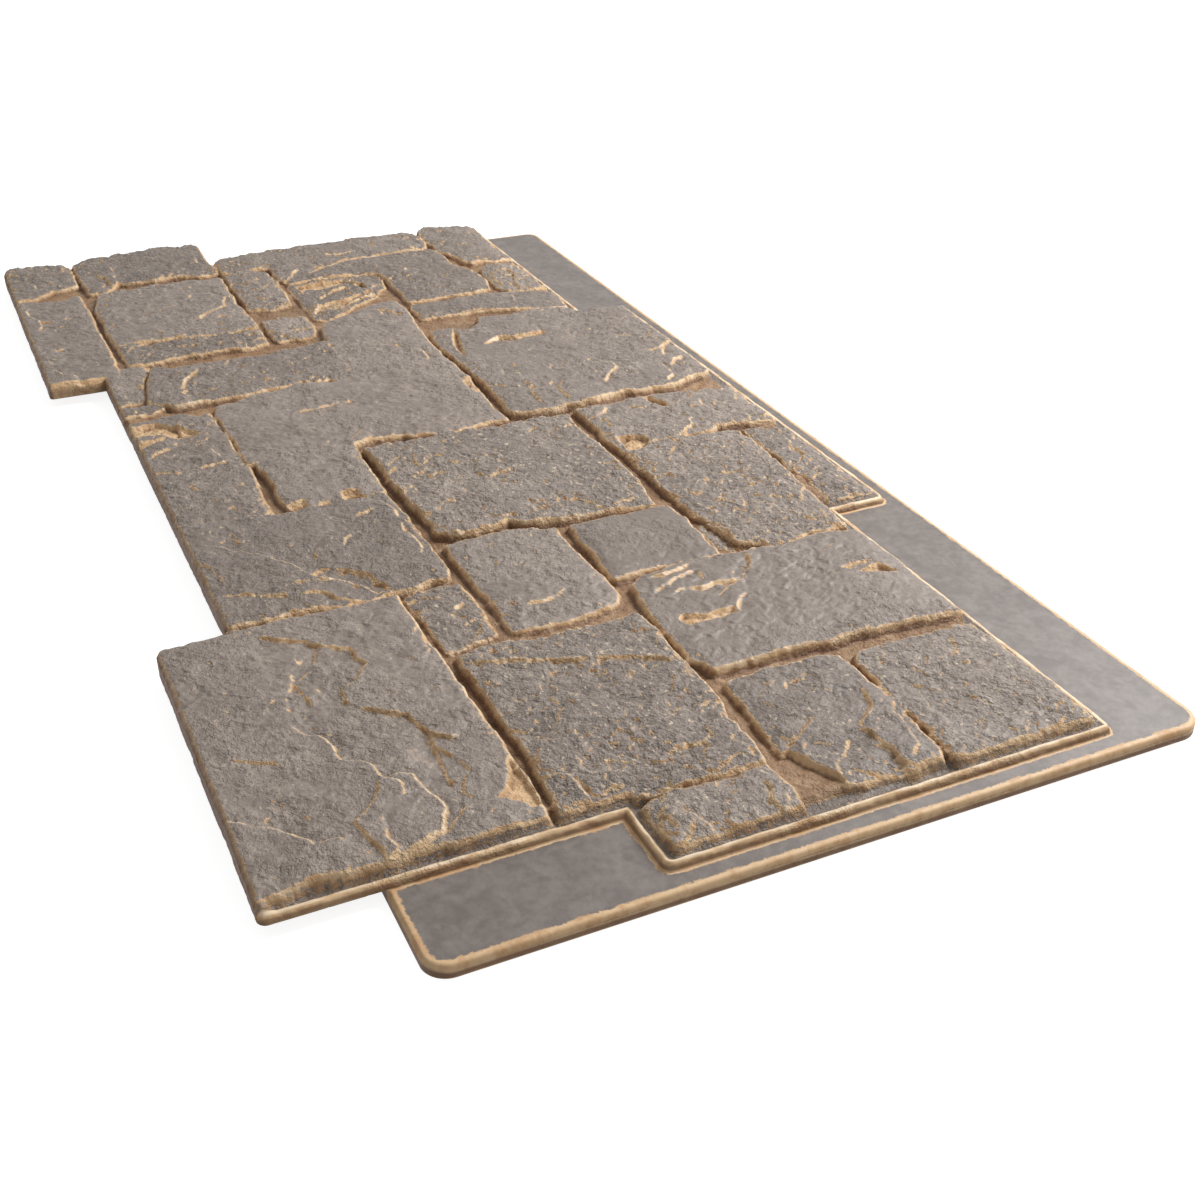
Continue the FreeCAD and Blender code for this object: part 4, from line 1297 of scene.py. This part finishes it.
@dataclass
class PanelSection:
    """One part of the panel as a closed shell: face, walls in rings, and a flat underside.

    Fields:
        name: The piece's name.
        first: Column line that it starts on.
        last: Column line that it ends on.
        low: First row of each column strip.
        high: Last row of each column strip.
        bottom: Level of its underside, in millimetres.
        rings: How many rings of faces its walls have.
    """

    name: str
    first: int
    last: int
    low: Array
    high: Array
    bottom: float
    rings: int

    def face_cells(self) -> tuple[Array, Array]:
        """Column and row of every cell of the face."""
        columns = np.arange(self.first, self.last)
        counts = self.high[columns] - self.low[columns]
        column = np.repeat(columns, counts)
        starts = np.repeat(np.cumsum(counts) - counts, counts)
        row = np.arange(counts.sum()) - starts + np.repeat(self.low[columns], counts)
        return column, row

    def loop(self) -> tuple[Array, Array]:
        """Column and row of each grid point once round the section, anticlockwise from above."""
        lower = [(self.first, self.low[self.first])]
        upper = [(self.first, self.high[self.first])]
        for column in range(self.first + 1, self.last):
            for path, limit in ((lower, self.low), (upper, self.high)):
                if limit[column] != limit[column - 1]:
                    path.extend([(column, limit[column - 1]), (column, limit[column])])
        lower.append((self.last, self.low[self.last - 1]))
        upper.append((self.last, self.high[self.last - 1]))
        turns = lower + upper[::-1]
        columns, rows = [], []
        for (ax, ay), (bx, by) in zip(turns, turns[1:] + turns[:1]):
            count = max(abs(bx - ax), abs(by - ay))
            columns.append(np.linspace(ax, bx, count + 1)[:-1].round().astype(int))
            rows.append(np.linspace(ay, by, count + 1)[:-1].round().astype(int))
        return np.concatenate(columns), np.concatenate(rows)

    def walls(self, face: StoneFace, column: Array, row: Array) -> tuple[Array, Array, Array]:
        """Places, outward directions and depth shares of the walls' rings below the face.

        Args:
            face: The heights.
            column: Column of each point round the section.
            row: Row of each point round the section.

        Returns:
            Places (rings, points, 3), outward directions (points, 3), and each ring's share. The
            field's outer walls are worn inward by up to half a millimetre. Those of the flange
            and those between sections stay straight.
        """
        grid = face.grid
        x, y, z = grid.x[column, row], grid.y[column, row], face.height[column, row]
        way_x, way_y = np.roll(x, -1) - np.roll(x, 1), np.roll(y, -1) - np.roll(y, 1)
        length = np.maximum(np.hypot(way_x, way_y), 1e-6)
        out = np.stack([way_y / length, -way_x / length, np.zeros_like(x)], axis=-1)
        outer = grid.at_edge[column, row]
        outer = outer & np.roll(outer, 1) & np.roll(outer, -1) & (z > EDGES.flange_top + 1.5)
        share = np.linspace(0, 1, self.rings + 1)[1:]
        level = z[None, :] + (self.bottom - z[None, :]) * share[:, None]
        wear = np.abs(RELIEF.wall.over(GRAIN_EDGE, level * 0 + x + y, level * 2.2))
        tuck = wear * np.sin(0.5 * np.pi * share)[:, None] * outer[None, :]
        places = np.stack([x - out[:, 0] * tuck, y - out[:, 1] * tuck, level], axis=-1)
        return places, out, share

    def shell(self, face: StoneFace) -> Shell:
        """Joins the face, the walls and the underside into one closed shell.

        Args:
            face: Heights and normals over the grid.

        Returns:
            The shell. Its face normals are the whole panel's, so that they carry on next door.
        """
        grid = face.grid
        column, row = self.face_cells()
        lines = len(grid.rows)
        corners = np.stack([
            column * lines + row, (column + 1) * lines + row,
            (column + 1) * lines + row + 1, column * lines + row + 1,
        ], axis=1)
        used, packed = np.unique(corners, return_inverse=True)
        packed = packed.reshape(corners.shape)
        round_column, round_row = self.loop()
        top_ring = np.searchsorted(used, round_column * lines + round_row)
        wall_places, out, share = self.walls(face, round_column, round_row)
        below = len(used) + np.arange(self.rings * len(top_ring)).reshape(self.rings, -1)
        rings = np.vstack([top_ring, below])
        after = np.roll(rings, -1, axis=1)
        wall_quads = np.stack([rings[:-1], rings[1:], after[1:], after[:-1]], axis=-1)
        here = np.arange(len(top_ring))
        next_on = np.roll(here, -1)
        wall_corner = np.tile(np.stack([here, here, next_on, next_on], axis=-1), (self.rings, 1))
        back = rings[-1][::-1]
        top = [values.ravel()[used] for values in (grid.x, grid.y, face.height)]
        return Shell(
            used, round_column, round_row, out, share,
            places=np.concatenate([np.stack(top, axis=-1), wall_places.reshape(-1, 3)]),
            quads=np.concatenate([packed, wall_quads.reshape(-1, 4)]),
            back=back,
            normals=np.concatenate([
                face.normals.reshape(-1, 3)[used][packed.ravel()], out[wall_corner.ravel()],
                np.tile([0.0, 0.0, -1.0], (len(back), 1)),
            ]),
        )

    def build(self, face: StoneFace) -> bpy.types.Object:
        """Puts the shell into a mesh.

        Args:
            face: Heights, normals and attributes over the grid.

        Returns:
            The new object, at the origin and in metres.
        """
        shell = self.shell(face)
        count = len(shell.quads)
        corners = np.concatenate([shell.quads.ravel(), shell.back])
        starts = np.arange(count + 1) * 4
        mesh = bpy.data.meshes.new(self.name)
        mesh.vertices.add(len(shell.places))
        mesh.vertices.foreach_set("co", (shell.places * MM).astype(np.float32).ravel())
        mesh.loops.add(len(corners))
        mesh.loops.foreach_set("vertex_index", corners.astype(np.int32))
        mesh.polygons.add(count + 1)
        mesh.polygons.foreach_set("loop_start", starts.astype(np.int32))
        mesh.update(calc_edges=True)
        mesh.polygons.foreach_set("use_smooth", np.ones(count + 1, dtype=bool))
        mesh.normals_split_custom_set(shell.normals.astype(np.float32).tolist())
        self.store(mesh, face, shell)
        piece = bpy.data.objects.new(self.name, mesh)
        bpy.context.collection.objects.link(piece)
        return piece

    def store(self, mesh: bpy.types.Mesh, face: StoneFace, shell: Shell) -> None:
        """Writes the finish's attributes: the face's own values, then those of the wall rings.

        Args:
            mesh: Mesh that takes them.
            face: Values over the grid.
            shell: The section's corners. Walls are bare, and the flange's are dark in the middle.
                The field's walls darken towards the bottom, and walls facing left, away from the
                key light, take more umber as painted shade.
        """
        flange = face.attributes["zone"][shell.column, shell.row] > 0.5
        down = np.repeat(shell.share[:, None], len(shell.column), axis=1)
        band = 0.1 + 0.75 * smooth_step(down, 0.2, 0.5) * (1 - smooth_step(down, 0.8, 1.0))
        field_wall = 0.3 + 0.3 * smooth_step(down, 0.05, 0.5)
        # Painted shade: wall rings facing left, away from the key light, take more umber.
        shaded = 0.5 * np.clip(-shell.out[:, 1], 0, 1)[None, :]
        walls = {
            "bare": np.full_like(down, 1.2),
            "crest": np.zeros_like(down),
            "umber_and_shade": np.where(flange, band, field_wall) + shaded,
            "tone": np.zeros_like(down),
            "rough": np.full_like(down, 0.5),
            "zone": np.where(flange, Zone.FLANGE.value, Zone.FIELD.value) + np.zeros_like(down),
        }
        for name, values in face.attributes.items():
            layer = mesh.attributes.new(name, "FLOAT", "POINT")
            whole = np.concatenate([values.ravel()[shell.used], walls[name].ravel()])
            layer.data.foreach_set("value", whole.astype(np.float32))


class NodeSketch:
    """Adds and joins the nodes of one tree, so that a finish reads as a few sums."""

    def __init__(self, tree: bpy.types.NodeTree) -> None:
        """Keeps the tree and starts its Object coordinates."""
        self.tree = tree
        self.place = self.add("ShaderNodeTexCoord").outputs["Object"]

    def add(self, kind: str, **settings: object) -> bpy.types.Node:
        """Adds a node and sets its fields."""
        node = self.tree.nodes.new(kind)
        for name, value in settings.items():
            setattr(node, name, value)
        return node

    def join(self, value: object, socket: bpy.types.NodeSocket) -> None:
        """Links a socket to an input, or writes a plain value into it."""
        if isinstance(value, bpy.types.NodeSocket):
            self.tree.links.new(value, socket)
        else:
            socket.default_value = value

    def attribute(self, name: str) -> bpy.types.NodeSocket:
        """Reads one of the mesh's own values."""
        return self.add("ShaderNodeAttribute", attribute_name=name).outputs["Fac"]

    def noise(self, size: float, detail: float = 3.0, roughness: float = 0.55,
              twist: float = 0.0) -> bpy.types.NodeSocket:
        """Noise with features of about the given size in millimetres, nought to one."""
        node = self.add("ShaderNodeTexNoise")
        self.join(self.place, node.inputs["Vector"])
        node.inputs["Scale"].default_value = 1.0 / (size * MM)
        node.inputs["Detail"].default_value = detail
        node.inputs["Roughness"].default_value = roughness
        node.inputs["Distortion"].default_value = twist
        return node.outputs["Fac"]

    def sum(self, first: object, second: object,
            operation: str = "ADD") -> bpy.types.NodeSocket:
        """One sum of two values, or another operation on them."""
        node = self.add("ShaderNodeMath", operation=operation)
        self.join(first, node.inputs[0])
        self.join(second, node.inputs[1])
        return node.outputs[0]

    def weigh(self, value: object, gain: float, offset: float = 0.0) -> bpy.types.NodeSocket:
        """Gain times a value, plus an offset."""
        node = self.add("ShaderNodeMath", operation="MULTIPLY_ADD")
        self.join(value, node.inputs[0])
        node.inputs[1].default_value = gain
        node.inputs[2].default_value = offset
        return node.outputs[0]

    def step(self, value: object, low: float, high: float) -> bpy.types.NodeSocket:
        """Smooth step of a value between two limits."""
        node = self.add("ShaderNodeMapRange", interpolation_type="SMOOTHSTEP")
        self.join(value, node.inputs["Value"])
        node.inputs["From Min"].default_value = low
        node.inputs["From Max"].default_value = high
        return node.outputs["Result"]

    def blend(self, share: object, first: object, second: object) -> bpy.types.NodeSocket:
        """Blends two colours by a share."""
        node = self.add("ShaderNodeMix", data_type="RGBA")
        factor, low, high = node.inputs[0], node.inputs[6], node.inputs[7]
        self.join(share, factor)
        self.join(first, low)
        self.join(second, high)
        return node.outputs[2]


def shade(red: int, green: int, blue: int) -> tuple[float, float, float, float]:
    """Linear colour of a picture colour given as 0 to 255, by the standard picture curve."""
    parts = [value / 255 for value in (red, green, blue)]
    linear = [v / 12.92 if v <= 0.04045 else ((v + 0.055) / 1.055) ** 2.4 for v in parts]
    return (*linear, 1.0)


class PaintGrain:
    """Noises and vertex values that every coat of one finish shares."""

    def __init__(self, n: NodeSketch) -> None:
        """Adds the shared nodes."""
        self.fine = n.noise(1.6, 3, 0.6)
        self.small = n.noise(4.5, 3, 0.6, 0.4)
        self.patch = n.noise(16, 4, 0.6, 0.6)
        self.broad = n.noise(75, 3, 0.5, 0.5)
        self.rough = n.attribute("rough")
        self.bare = n.attribute("bare")
        self.worn = n.sum(n.weigh(self.fine, 0.6, -0.3), n.weigh(self.small, 0.9, -0.45))
        self.bared = n.step(n.sum(self.bare, self.worn), 0.34, 0.6)


@dataclass(frozen=True)
class StonePaint:
    """Grey top coat rolled over a tan base coat on moulded foam, worn through at its edges.

    It has painted shade in the hollows and on walls facing left, and painted highlight on the
    crests and on the sides facing the key light.
    """

    name: str = "stone_paint"
    grey_dark: tuple[int, int, int] = (109, 98, 89)
    grey_light: tuple[int, int, int] = (162, 148, 136)
    tan: tuple[int, int, int] = (204, 172, 132)
    tan_dark: tuple[int, int, int] = (178, 138, 96)
    # Cream: the flecks on rough faces, and the crests' cream, which is partly painted highlight.
    cream: tuple[int, int, int] = (224, 202, 172)
    # Umber: the dark base coat in the joints and on the ledge, also used as painted shade in
    # hollows and on walls facing left.
    umber: tuple[int, int, int] = (108, 76, 50)
    flange_dark: tuple[int, int, int] = (91, 83, 78)
    flange_light: tuple[int, int, int] = (119, 110, 104)
    bump_strength: float = 0.8
    bump_height: float = 4.5

    def top_coat(self, n: NodeSketch, grain: PaintGrain) -> bpy.types.NodeSocket:
        """The stones' grey, mottled at three sizes and lighter on the crests, in part as painted
        highlight, with cream flecks on rough faces.
        """
        mottle = n.sum(n.weigh(grain.patch, 0.9, -0.35), n.weigh(grain.broad, 0.8, -0.3))
        mottle = n.sum(mottle, n.weigh(n.attribute("tone"), 0.22, 0.12))
        mottle = n.sum(mottle, n.weigh(grain.rough, 0.3, -0.12))
        mottle = n.sum(mottle, n.weigh(grain.small, 0.5, -0.2))
        # Painted highlight in part: the grey is lighter on the crests.
        mottle = n.sum(mottle, n.weigh(n.attribute("crest"), 0.9, -0.1))
        grey = n.blend(n.step(mottle, 0.0, 1.0), shade(*self.grey_dark), shade(*self.grey_light))
        flecks = n.sum(n.step(grain.small, 0.58, 0.68), n.weigh(grain.rough, 0.85))
        flecks = n.step(n.sum(flecks, n.weigh(grain.fine, 0.7, -0.35)), 1.1, 1.5)
        return n.blend(n.weigh(flecks, 0.55), grey, shade(*self.cream))

    def base_coat(self, n: NodeSketch, grain: PaintGrain) -> bpy.types.NodeSocket:
        """The tan under the grey, running to umber in the joints and on the ledge, and, as painted
        shade, in hollows, at the lip's foot and on walls facing left.
        """
        mixed = n.sum(grain.patch, n.weigh(grain.small, 0.5, -0.25))
        tan = n.blend(n.step(mixed, 0.35, 0.75), shade(*self.tan), shade(*self.tan_dark))
        # Umber by the umber amount: partly painted shade in hollows and on walls facing left.
        umber_and_shade = n.sum(n.attribute("umber_and_shade"), n.weigh(grain.patch, 0.4, -0.2))
        return n.blend(n.step(umber_and_shade, 0.15, 1.0), tan, shade(*self.umber))

    def flange_coat(self, n: NodeSketch, grain: PaintGrain,
                    base: bpy.types.NodeSocket) -> bpy.types.NodeSocket:
        """The flange's own darker grey, with the base coat showing along its edges."""
        cloud = n.sum(n.weigh(grain.patch, 0.7), n.weigh(n.noise(5.5, 4, 0.7), 0.5, -0.1))
        cloud = n.step(cloud, 0.3, 0.75)
        sheet = n.blend(cloud, shade(*self.flange_dark), shade(*self.flange_light))
        ragged = n.weigh(n.sum(grain.worn, grain.patch), 0.6, -0.3)
        return n.blend(n.step(n.sum(grain.bare, ragged), 0.4, 0.65), sheet, base)

    def tooth(self, n: NodeSketch, grain: PaintGrain) -> bpy.types.NodeSocket:
        """Height of the fine bump: flakes of two sizes, stronger on rough stones."""
        flakes = n.weigh(n.step(n.noise(8, 5, 0.62, 0.3), 0.44, 0.56), 0.3)
        flakes = n.sum(flakes, n.weigh(grain.small, 0.3))
        flakes = n.sum(flakes, n.weigh(n.step(n.noise(3.2, 3, 0.6), 0.4, 0.6), 0.16))
        flakes = n.sum(flakes, n.weigh(grain.fine, 0.25))
        broad = n.step(grain.broad, 0.4, 0.6)
        worked = n.sum(n.weigh(grain.rough, 1.1, -0.32), n.weigh(broad, 0.6))
        worked = n.sum(worked, n.weigh(n.attribute("zone"), -0.6, 0.12))
        return n.sum(flakes, n.step(worked, -0.3, 1.2), "MULTIPLY")

    def build(self) -> bpy.types.Material:
        """Makes the material.

        Returns:
            A node material: where bare plus noise passes a limit the tan shows through the grey,
            cream lies on the crests, partly as painted highlight, and umber fills the joints and,
            as painted shade, the hollows and the walls facing left.
        """
        material = bpy.data.materials.new(self.name)
        material.use_nodes = True
        material.node_tree.nodes.clear()
        n = NodeSketch(material.node_tree)
        grain = PaintGrain(n)
        base = self.base_coat(n, grain)
        coat = n.blend(grain.bared, self.top_coat(n, grain), base)
        # Cream on the crests, partly painted highlight.
        crest = n.sum(n.attribute("crest"), n.weigh(grain.worn, 0.6))
        coat = n.blend(n.weigh(n.step(crest, 0.3, 0.8), 0.85), coat, shade(*self.cream))
        sheet = self.flange_coat(n, grain, base)
        coat = n.blend(n.step(n.attribute("zone"), 0.4, 0.6), coat, sheet)

        shader = n.add("ShaderNodeBsdfPrincipled")
        n.join(coat, shader.inputs["Base Color"])
        dull = n.sum(n.weigh(grain.bared, 0.08, 0.5), n.weigh(grain.small, 0.1, -0.05))
        n.join(dull, shader.inputs["Roughness"])
        shader.inputs["Specular IOR Level"].default_value = 0.5
        bump = n.add("ShaderNodeBump")
        bump.inputs["Strength"].default_value = self.bump_strength
        bump.inputs["Distance"].default_value = self.bump_height * MM
        n.join(self.tooth(n, grain), bump.inputs["Height"])
        n.join(bump.outputs["Normal"], shader.inputs["Normal"])
        out = n.add("ShaderNodeOutputMaterial")
        n.join(shader.outputs["BSDF"], out.inputs["Surface"])
        return material


@dataclass(frozen=True)
class StonePanel:
    """The whole moulding, cut into sections that each stay small enough to export.

    Fields:
        pitch: Spacing of the face's grid, in millimetres.
        cuts: Where the sections over the flange sheet meet along the panel.
        names: Their names, from the far end to the near end.
    """

    pitch: float = 1.3
    quick_share: float = 2.2
    cuts: tuple[float, ...] = (-310.0, -78.0, 150.0, 372.0)
    names: tuple[str, ...] = (
        "far_stones", "top_slab_stones", "centre_stones", "square_stones", "near_stones")

    def sections(self, grid: PanelGrid) -> list[PanelSection]:
        """Lays out the sections: five over the flange sheet, and two overhangs beside it.

        Args:
            grid: The panel's grid.

        Returns:
            The sections, which meet without a gap.
        """
        e = EDGES
        start, step = grid.column(e.flange_far), grid.row(e.flange_left)
        left_end, end = grid.column(e.near_notch), len(grid.columns) - 1
        flat = np.full_like(grid.first_row, step)
        stops = [start, *(grid.column(cut) for cut in self.cuts), end]
        parts = [
            PanelSection(name, first, last, flat, grid.last_row, bottom=0.0, rings=6)
            for name, first, last in zip(self.names, stops[:-1], stops[1:])
        ]
        for name, first, last, high in (
            ("far_overhang", 0, start, grid.last_row), ("left_overhang", start, left_end, flat),
        ):
            parts.append(PanelSection(
                name, first, last, grid.first_row, high, bottom=e.flange_top, rings=5))
        return parts

    def build(self, log: logging.Logger) -> list[bpy.types.Object]:
        """Works out the face, builds each section and gives it its finish.

        Args:
            log: Where each piece is reported.

        Returns:
            The sections' objects.
        """
        grid = PanelGrid(self.pitch * (1.0))
        face = StoneFace(grid)
        paint = StonePaint().build()
        pieces = []
        for section in self.sections(grid):
            piece = section.build(face)
            piece.data.materials.append(paint)
            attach(piece, "root")
            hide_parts("stone_panel")
            triangles = sum(len(polygon.vertices) - 2 for polygon in piece.data.polygons)
            log.info("%s: %d triangles", section.name, triangles)
            pieces.append(piece)
        return pieces


@dataclass(frozen=True)
class Studio:
    """Pale floor, soft light and the photograph's viewpoint.

    Fields:
        ambient: Strength of the even light from all round.
        key_power: Power of the large lamp above the panel's right side, in watts.
        key_place: Where that lamp hangs, in metres.
        key_size: Side of the lamp, in metres.
        paper: How much light the floor gives back.
        glow: How much it adds where it is seen directly, so that it looks white.
        reach: Half the floor's side, in metres.
    """

    ambient: float = 0.38
    key_power: float = 56.0
    key_place: tuple[float, float, float] = (0.1, 1.35, 1.45)
    key_size: float = 1.0
    paper: float = 0.5
    glow: float = 0.86
    reach: float = 12.0

    def add_camera(self) -> None:
        """Sets the camera by the photograph's directions: X right, Y up, Z backward."""
        data = bpy.data.cameras.new("photo_view")
        data.lens = EYE.lens
        data.sensor_width = 36.0
        data.clip_start, data.clip_end = 0.05, 60.0
        camera = bpy.data.objects.new("photo_view", data)
        axes = np.array([EYE.right, [-v for v in EYE.down], [-v for v in EYE.forward]]).T
        camera.matrix_world = self.placed(axes, np.array(EYE.place) * MM)
        bpy.context.collection.objects.link(camera)
        bpy.context.scene.camera = camera

    def placed(self, axes: Array, place: Array) -> Matrix:
        """World matrix from three axes, as columns, and a place."""
        matrix = np.eye(4)
        matrix[:3, :3] = axes
        matrix[:3, 3] = place
        return Matrix(matrix.tolist())

    def seen_directly(self, n: NodeSketch) -> bpy.types.NodeSocket:
        """One for rays that show the background itself: camera, glossy and transmission rays."""
        rays = n.add("ShaderNodeLightPath")
        direct = n.sum(rays.outputs["Is Camera Ray"], rays.outputs["Is Glossy Ray"], "MAXIMUM")
        return n.sum(direct, rays.outputs["Is Transmission Ray"], "MAXIMUM")

    def add_world(self) -> None:
        """Even white light, with a plain white background where it is seen directly."""
        world = bpy.data.worlds.new("studio_light")
        bpy.context.scene.world = world
        world.use_nodes = True
        world.node_tree.nodes.clear()
        n = NodeSketch(world.node_tree)
        light, back = n.add("ShaderNodeBackground"), n.add("ShaderNodeBackground")
        for backdrop, strength in ((light, self.ambient), (back, 1.0)):
            backdrop.inputs["Color"].default_value = (1.0, 1.0, 1.0, 1.0)
            backdrop.inputs["Strength"].default_value = strength
        mix = n.add("ShaderNodeMixShader")
        n.join(self.seen_directly(n), mix.inputs[0])
        n.join(light.outputs[0], mix.inputs[1])
        n.join(back.outputs[0], mix.inputs[2])
        n.join(mix.outputs[0], n.add("ShaderNodeOutputWorld").inputs["Surface"])

    def add_key(self) -> None:
        """A large square lamp that faces the panel's middle."""
        data = bpy.data.lights.new("soft_key", "AREA")
        data.energy = self.key_power
        data.size = self.key_size
        lamp = bpy.data.objects.new("soft_key", data)
        place = np.array(self.key_place)
        back = place / np.linalg.norm(place)
        side = np.cross([0, 0, 1], back)
        side = side / np.linalg.norm(side)
        lamp.matrix_world = self.placed(np.array([side, np.cross(back, side), back]).T, place)
        bpy.context.collection.objects.link(lamp)

    def add_floor(self) -> None:
        """A wide pale floor that keeps the panel's shadow and otherwise looks white."""
        ways, level = ((-1, -1), (1, -1), (1, 1), (-1, 1)), -0.2 * MM
        corners = [(self.reach * x, self.reach * y, level) for x, y in ways]
        mesh = bpy.data.meshes.new("floor")
        mesh.from_pydata(corners, [], [(0, 1, 2, 3)])
        floor = bpy.data.objects.new("floor", mesh)
        bpy.context.collection.objects.link(floor)
        material = bpy.data.materials.new("floor_paper")
        material.use_nodes = True
        material.node_tree.nodes.clear()
        n = NodeSketch(material.node_tree)
        paper, glow = n.add("ShaderNodeBsdfDiffuse"), n.add("ShaderNodeEmission")
        paper.inputs["Color"].default_value = (self.paper, self.paper, self.paper, 1.0)
        n.join(n.weigh(self.seen_directly(n), self.glow), glow.inputs["Strength"])
        both = n.add("ShaderNodeAddShader")
        n.join(paper.outputs[0], both.inputs[0])
        n.join(glow.outputs[0], both.inputs[1])
        n.join(both.outputs[0], n.add("ShaderNodeOutputMaterial").inputs["Surface"])
        mesh.materials.append(material)

    def build(self) -> None:
        """Sets the whole studio."""
        self.add_camera()
        self.add_world()
        self.add_key()
        self.add_floor()
        bpy.context.scene.view_settings.view_transform = "Standard"


def main() -> None:
    """Builds the studio and the panel."""
    logging.basicConfig(level=logging.INFO, format="%(message)s")
    log = logging.getLogger("stone_panel")
    Studio().build()
    pieces = StonePanel().build(log)
    log.info("%d pieces", len(pieces))


if __name__ == "__main__":
    main()
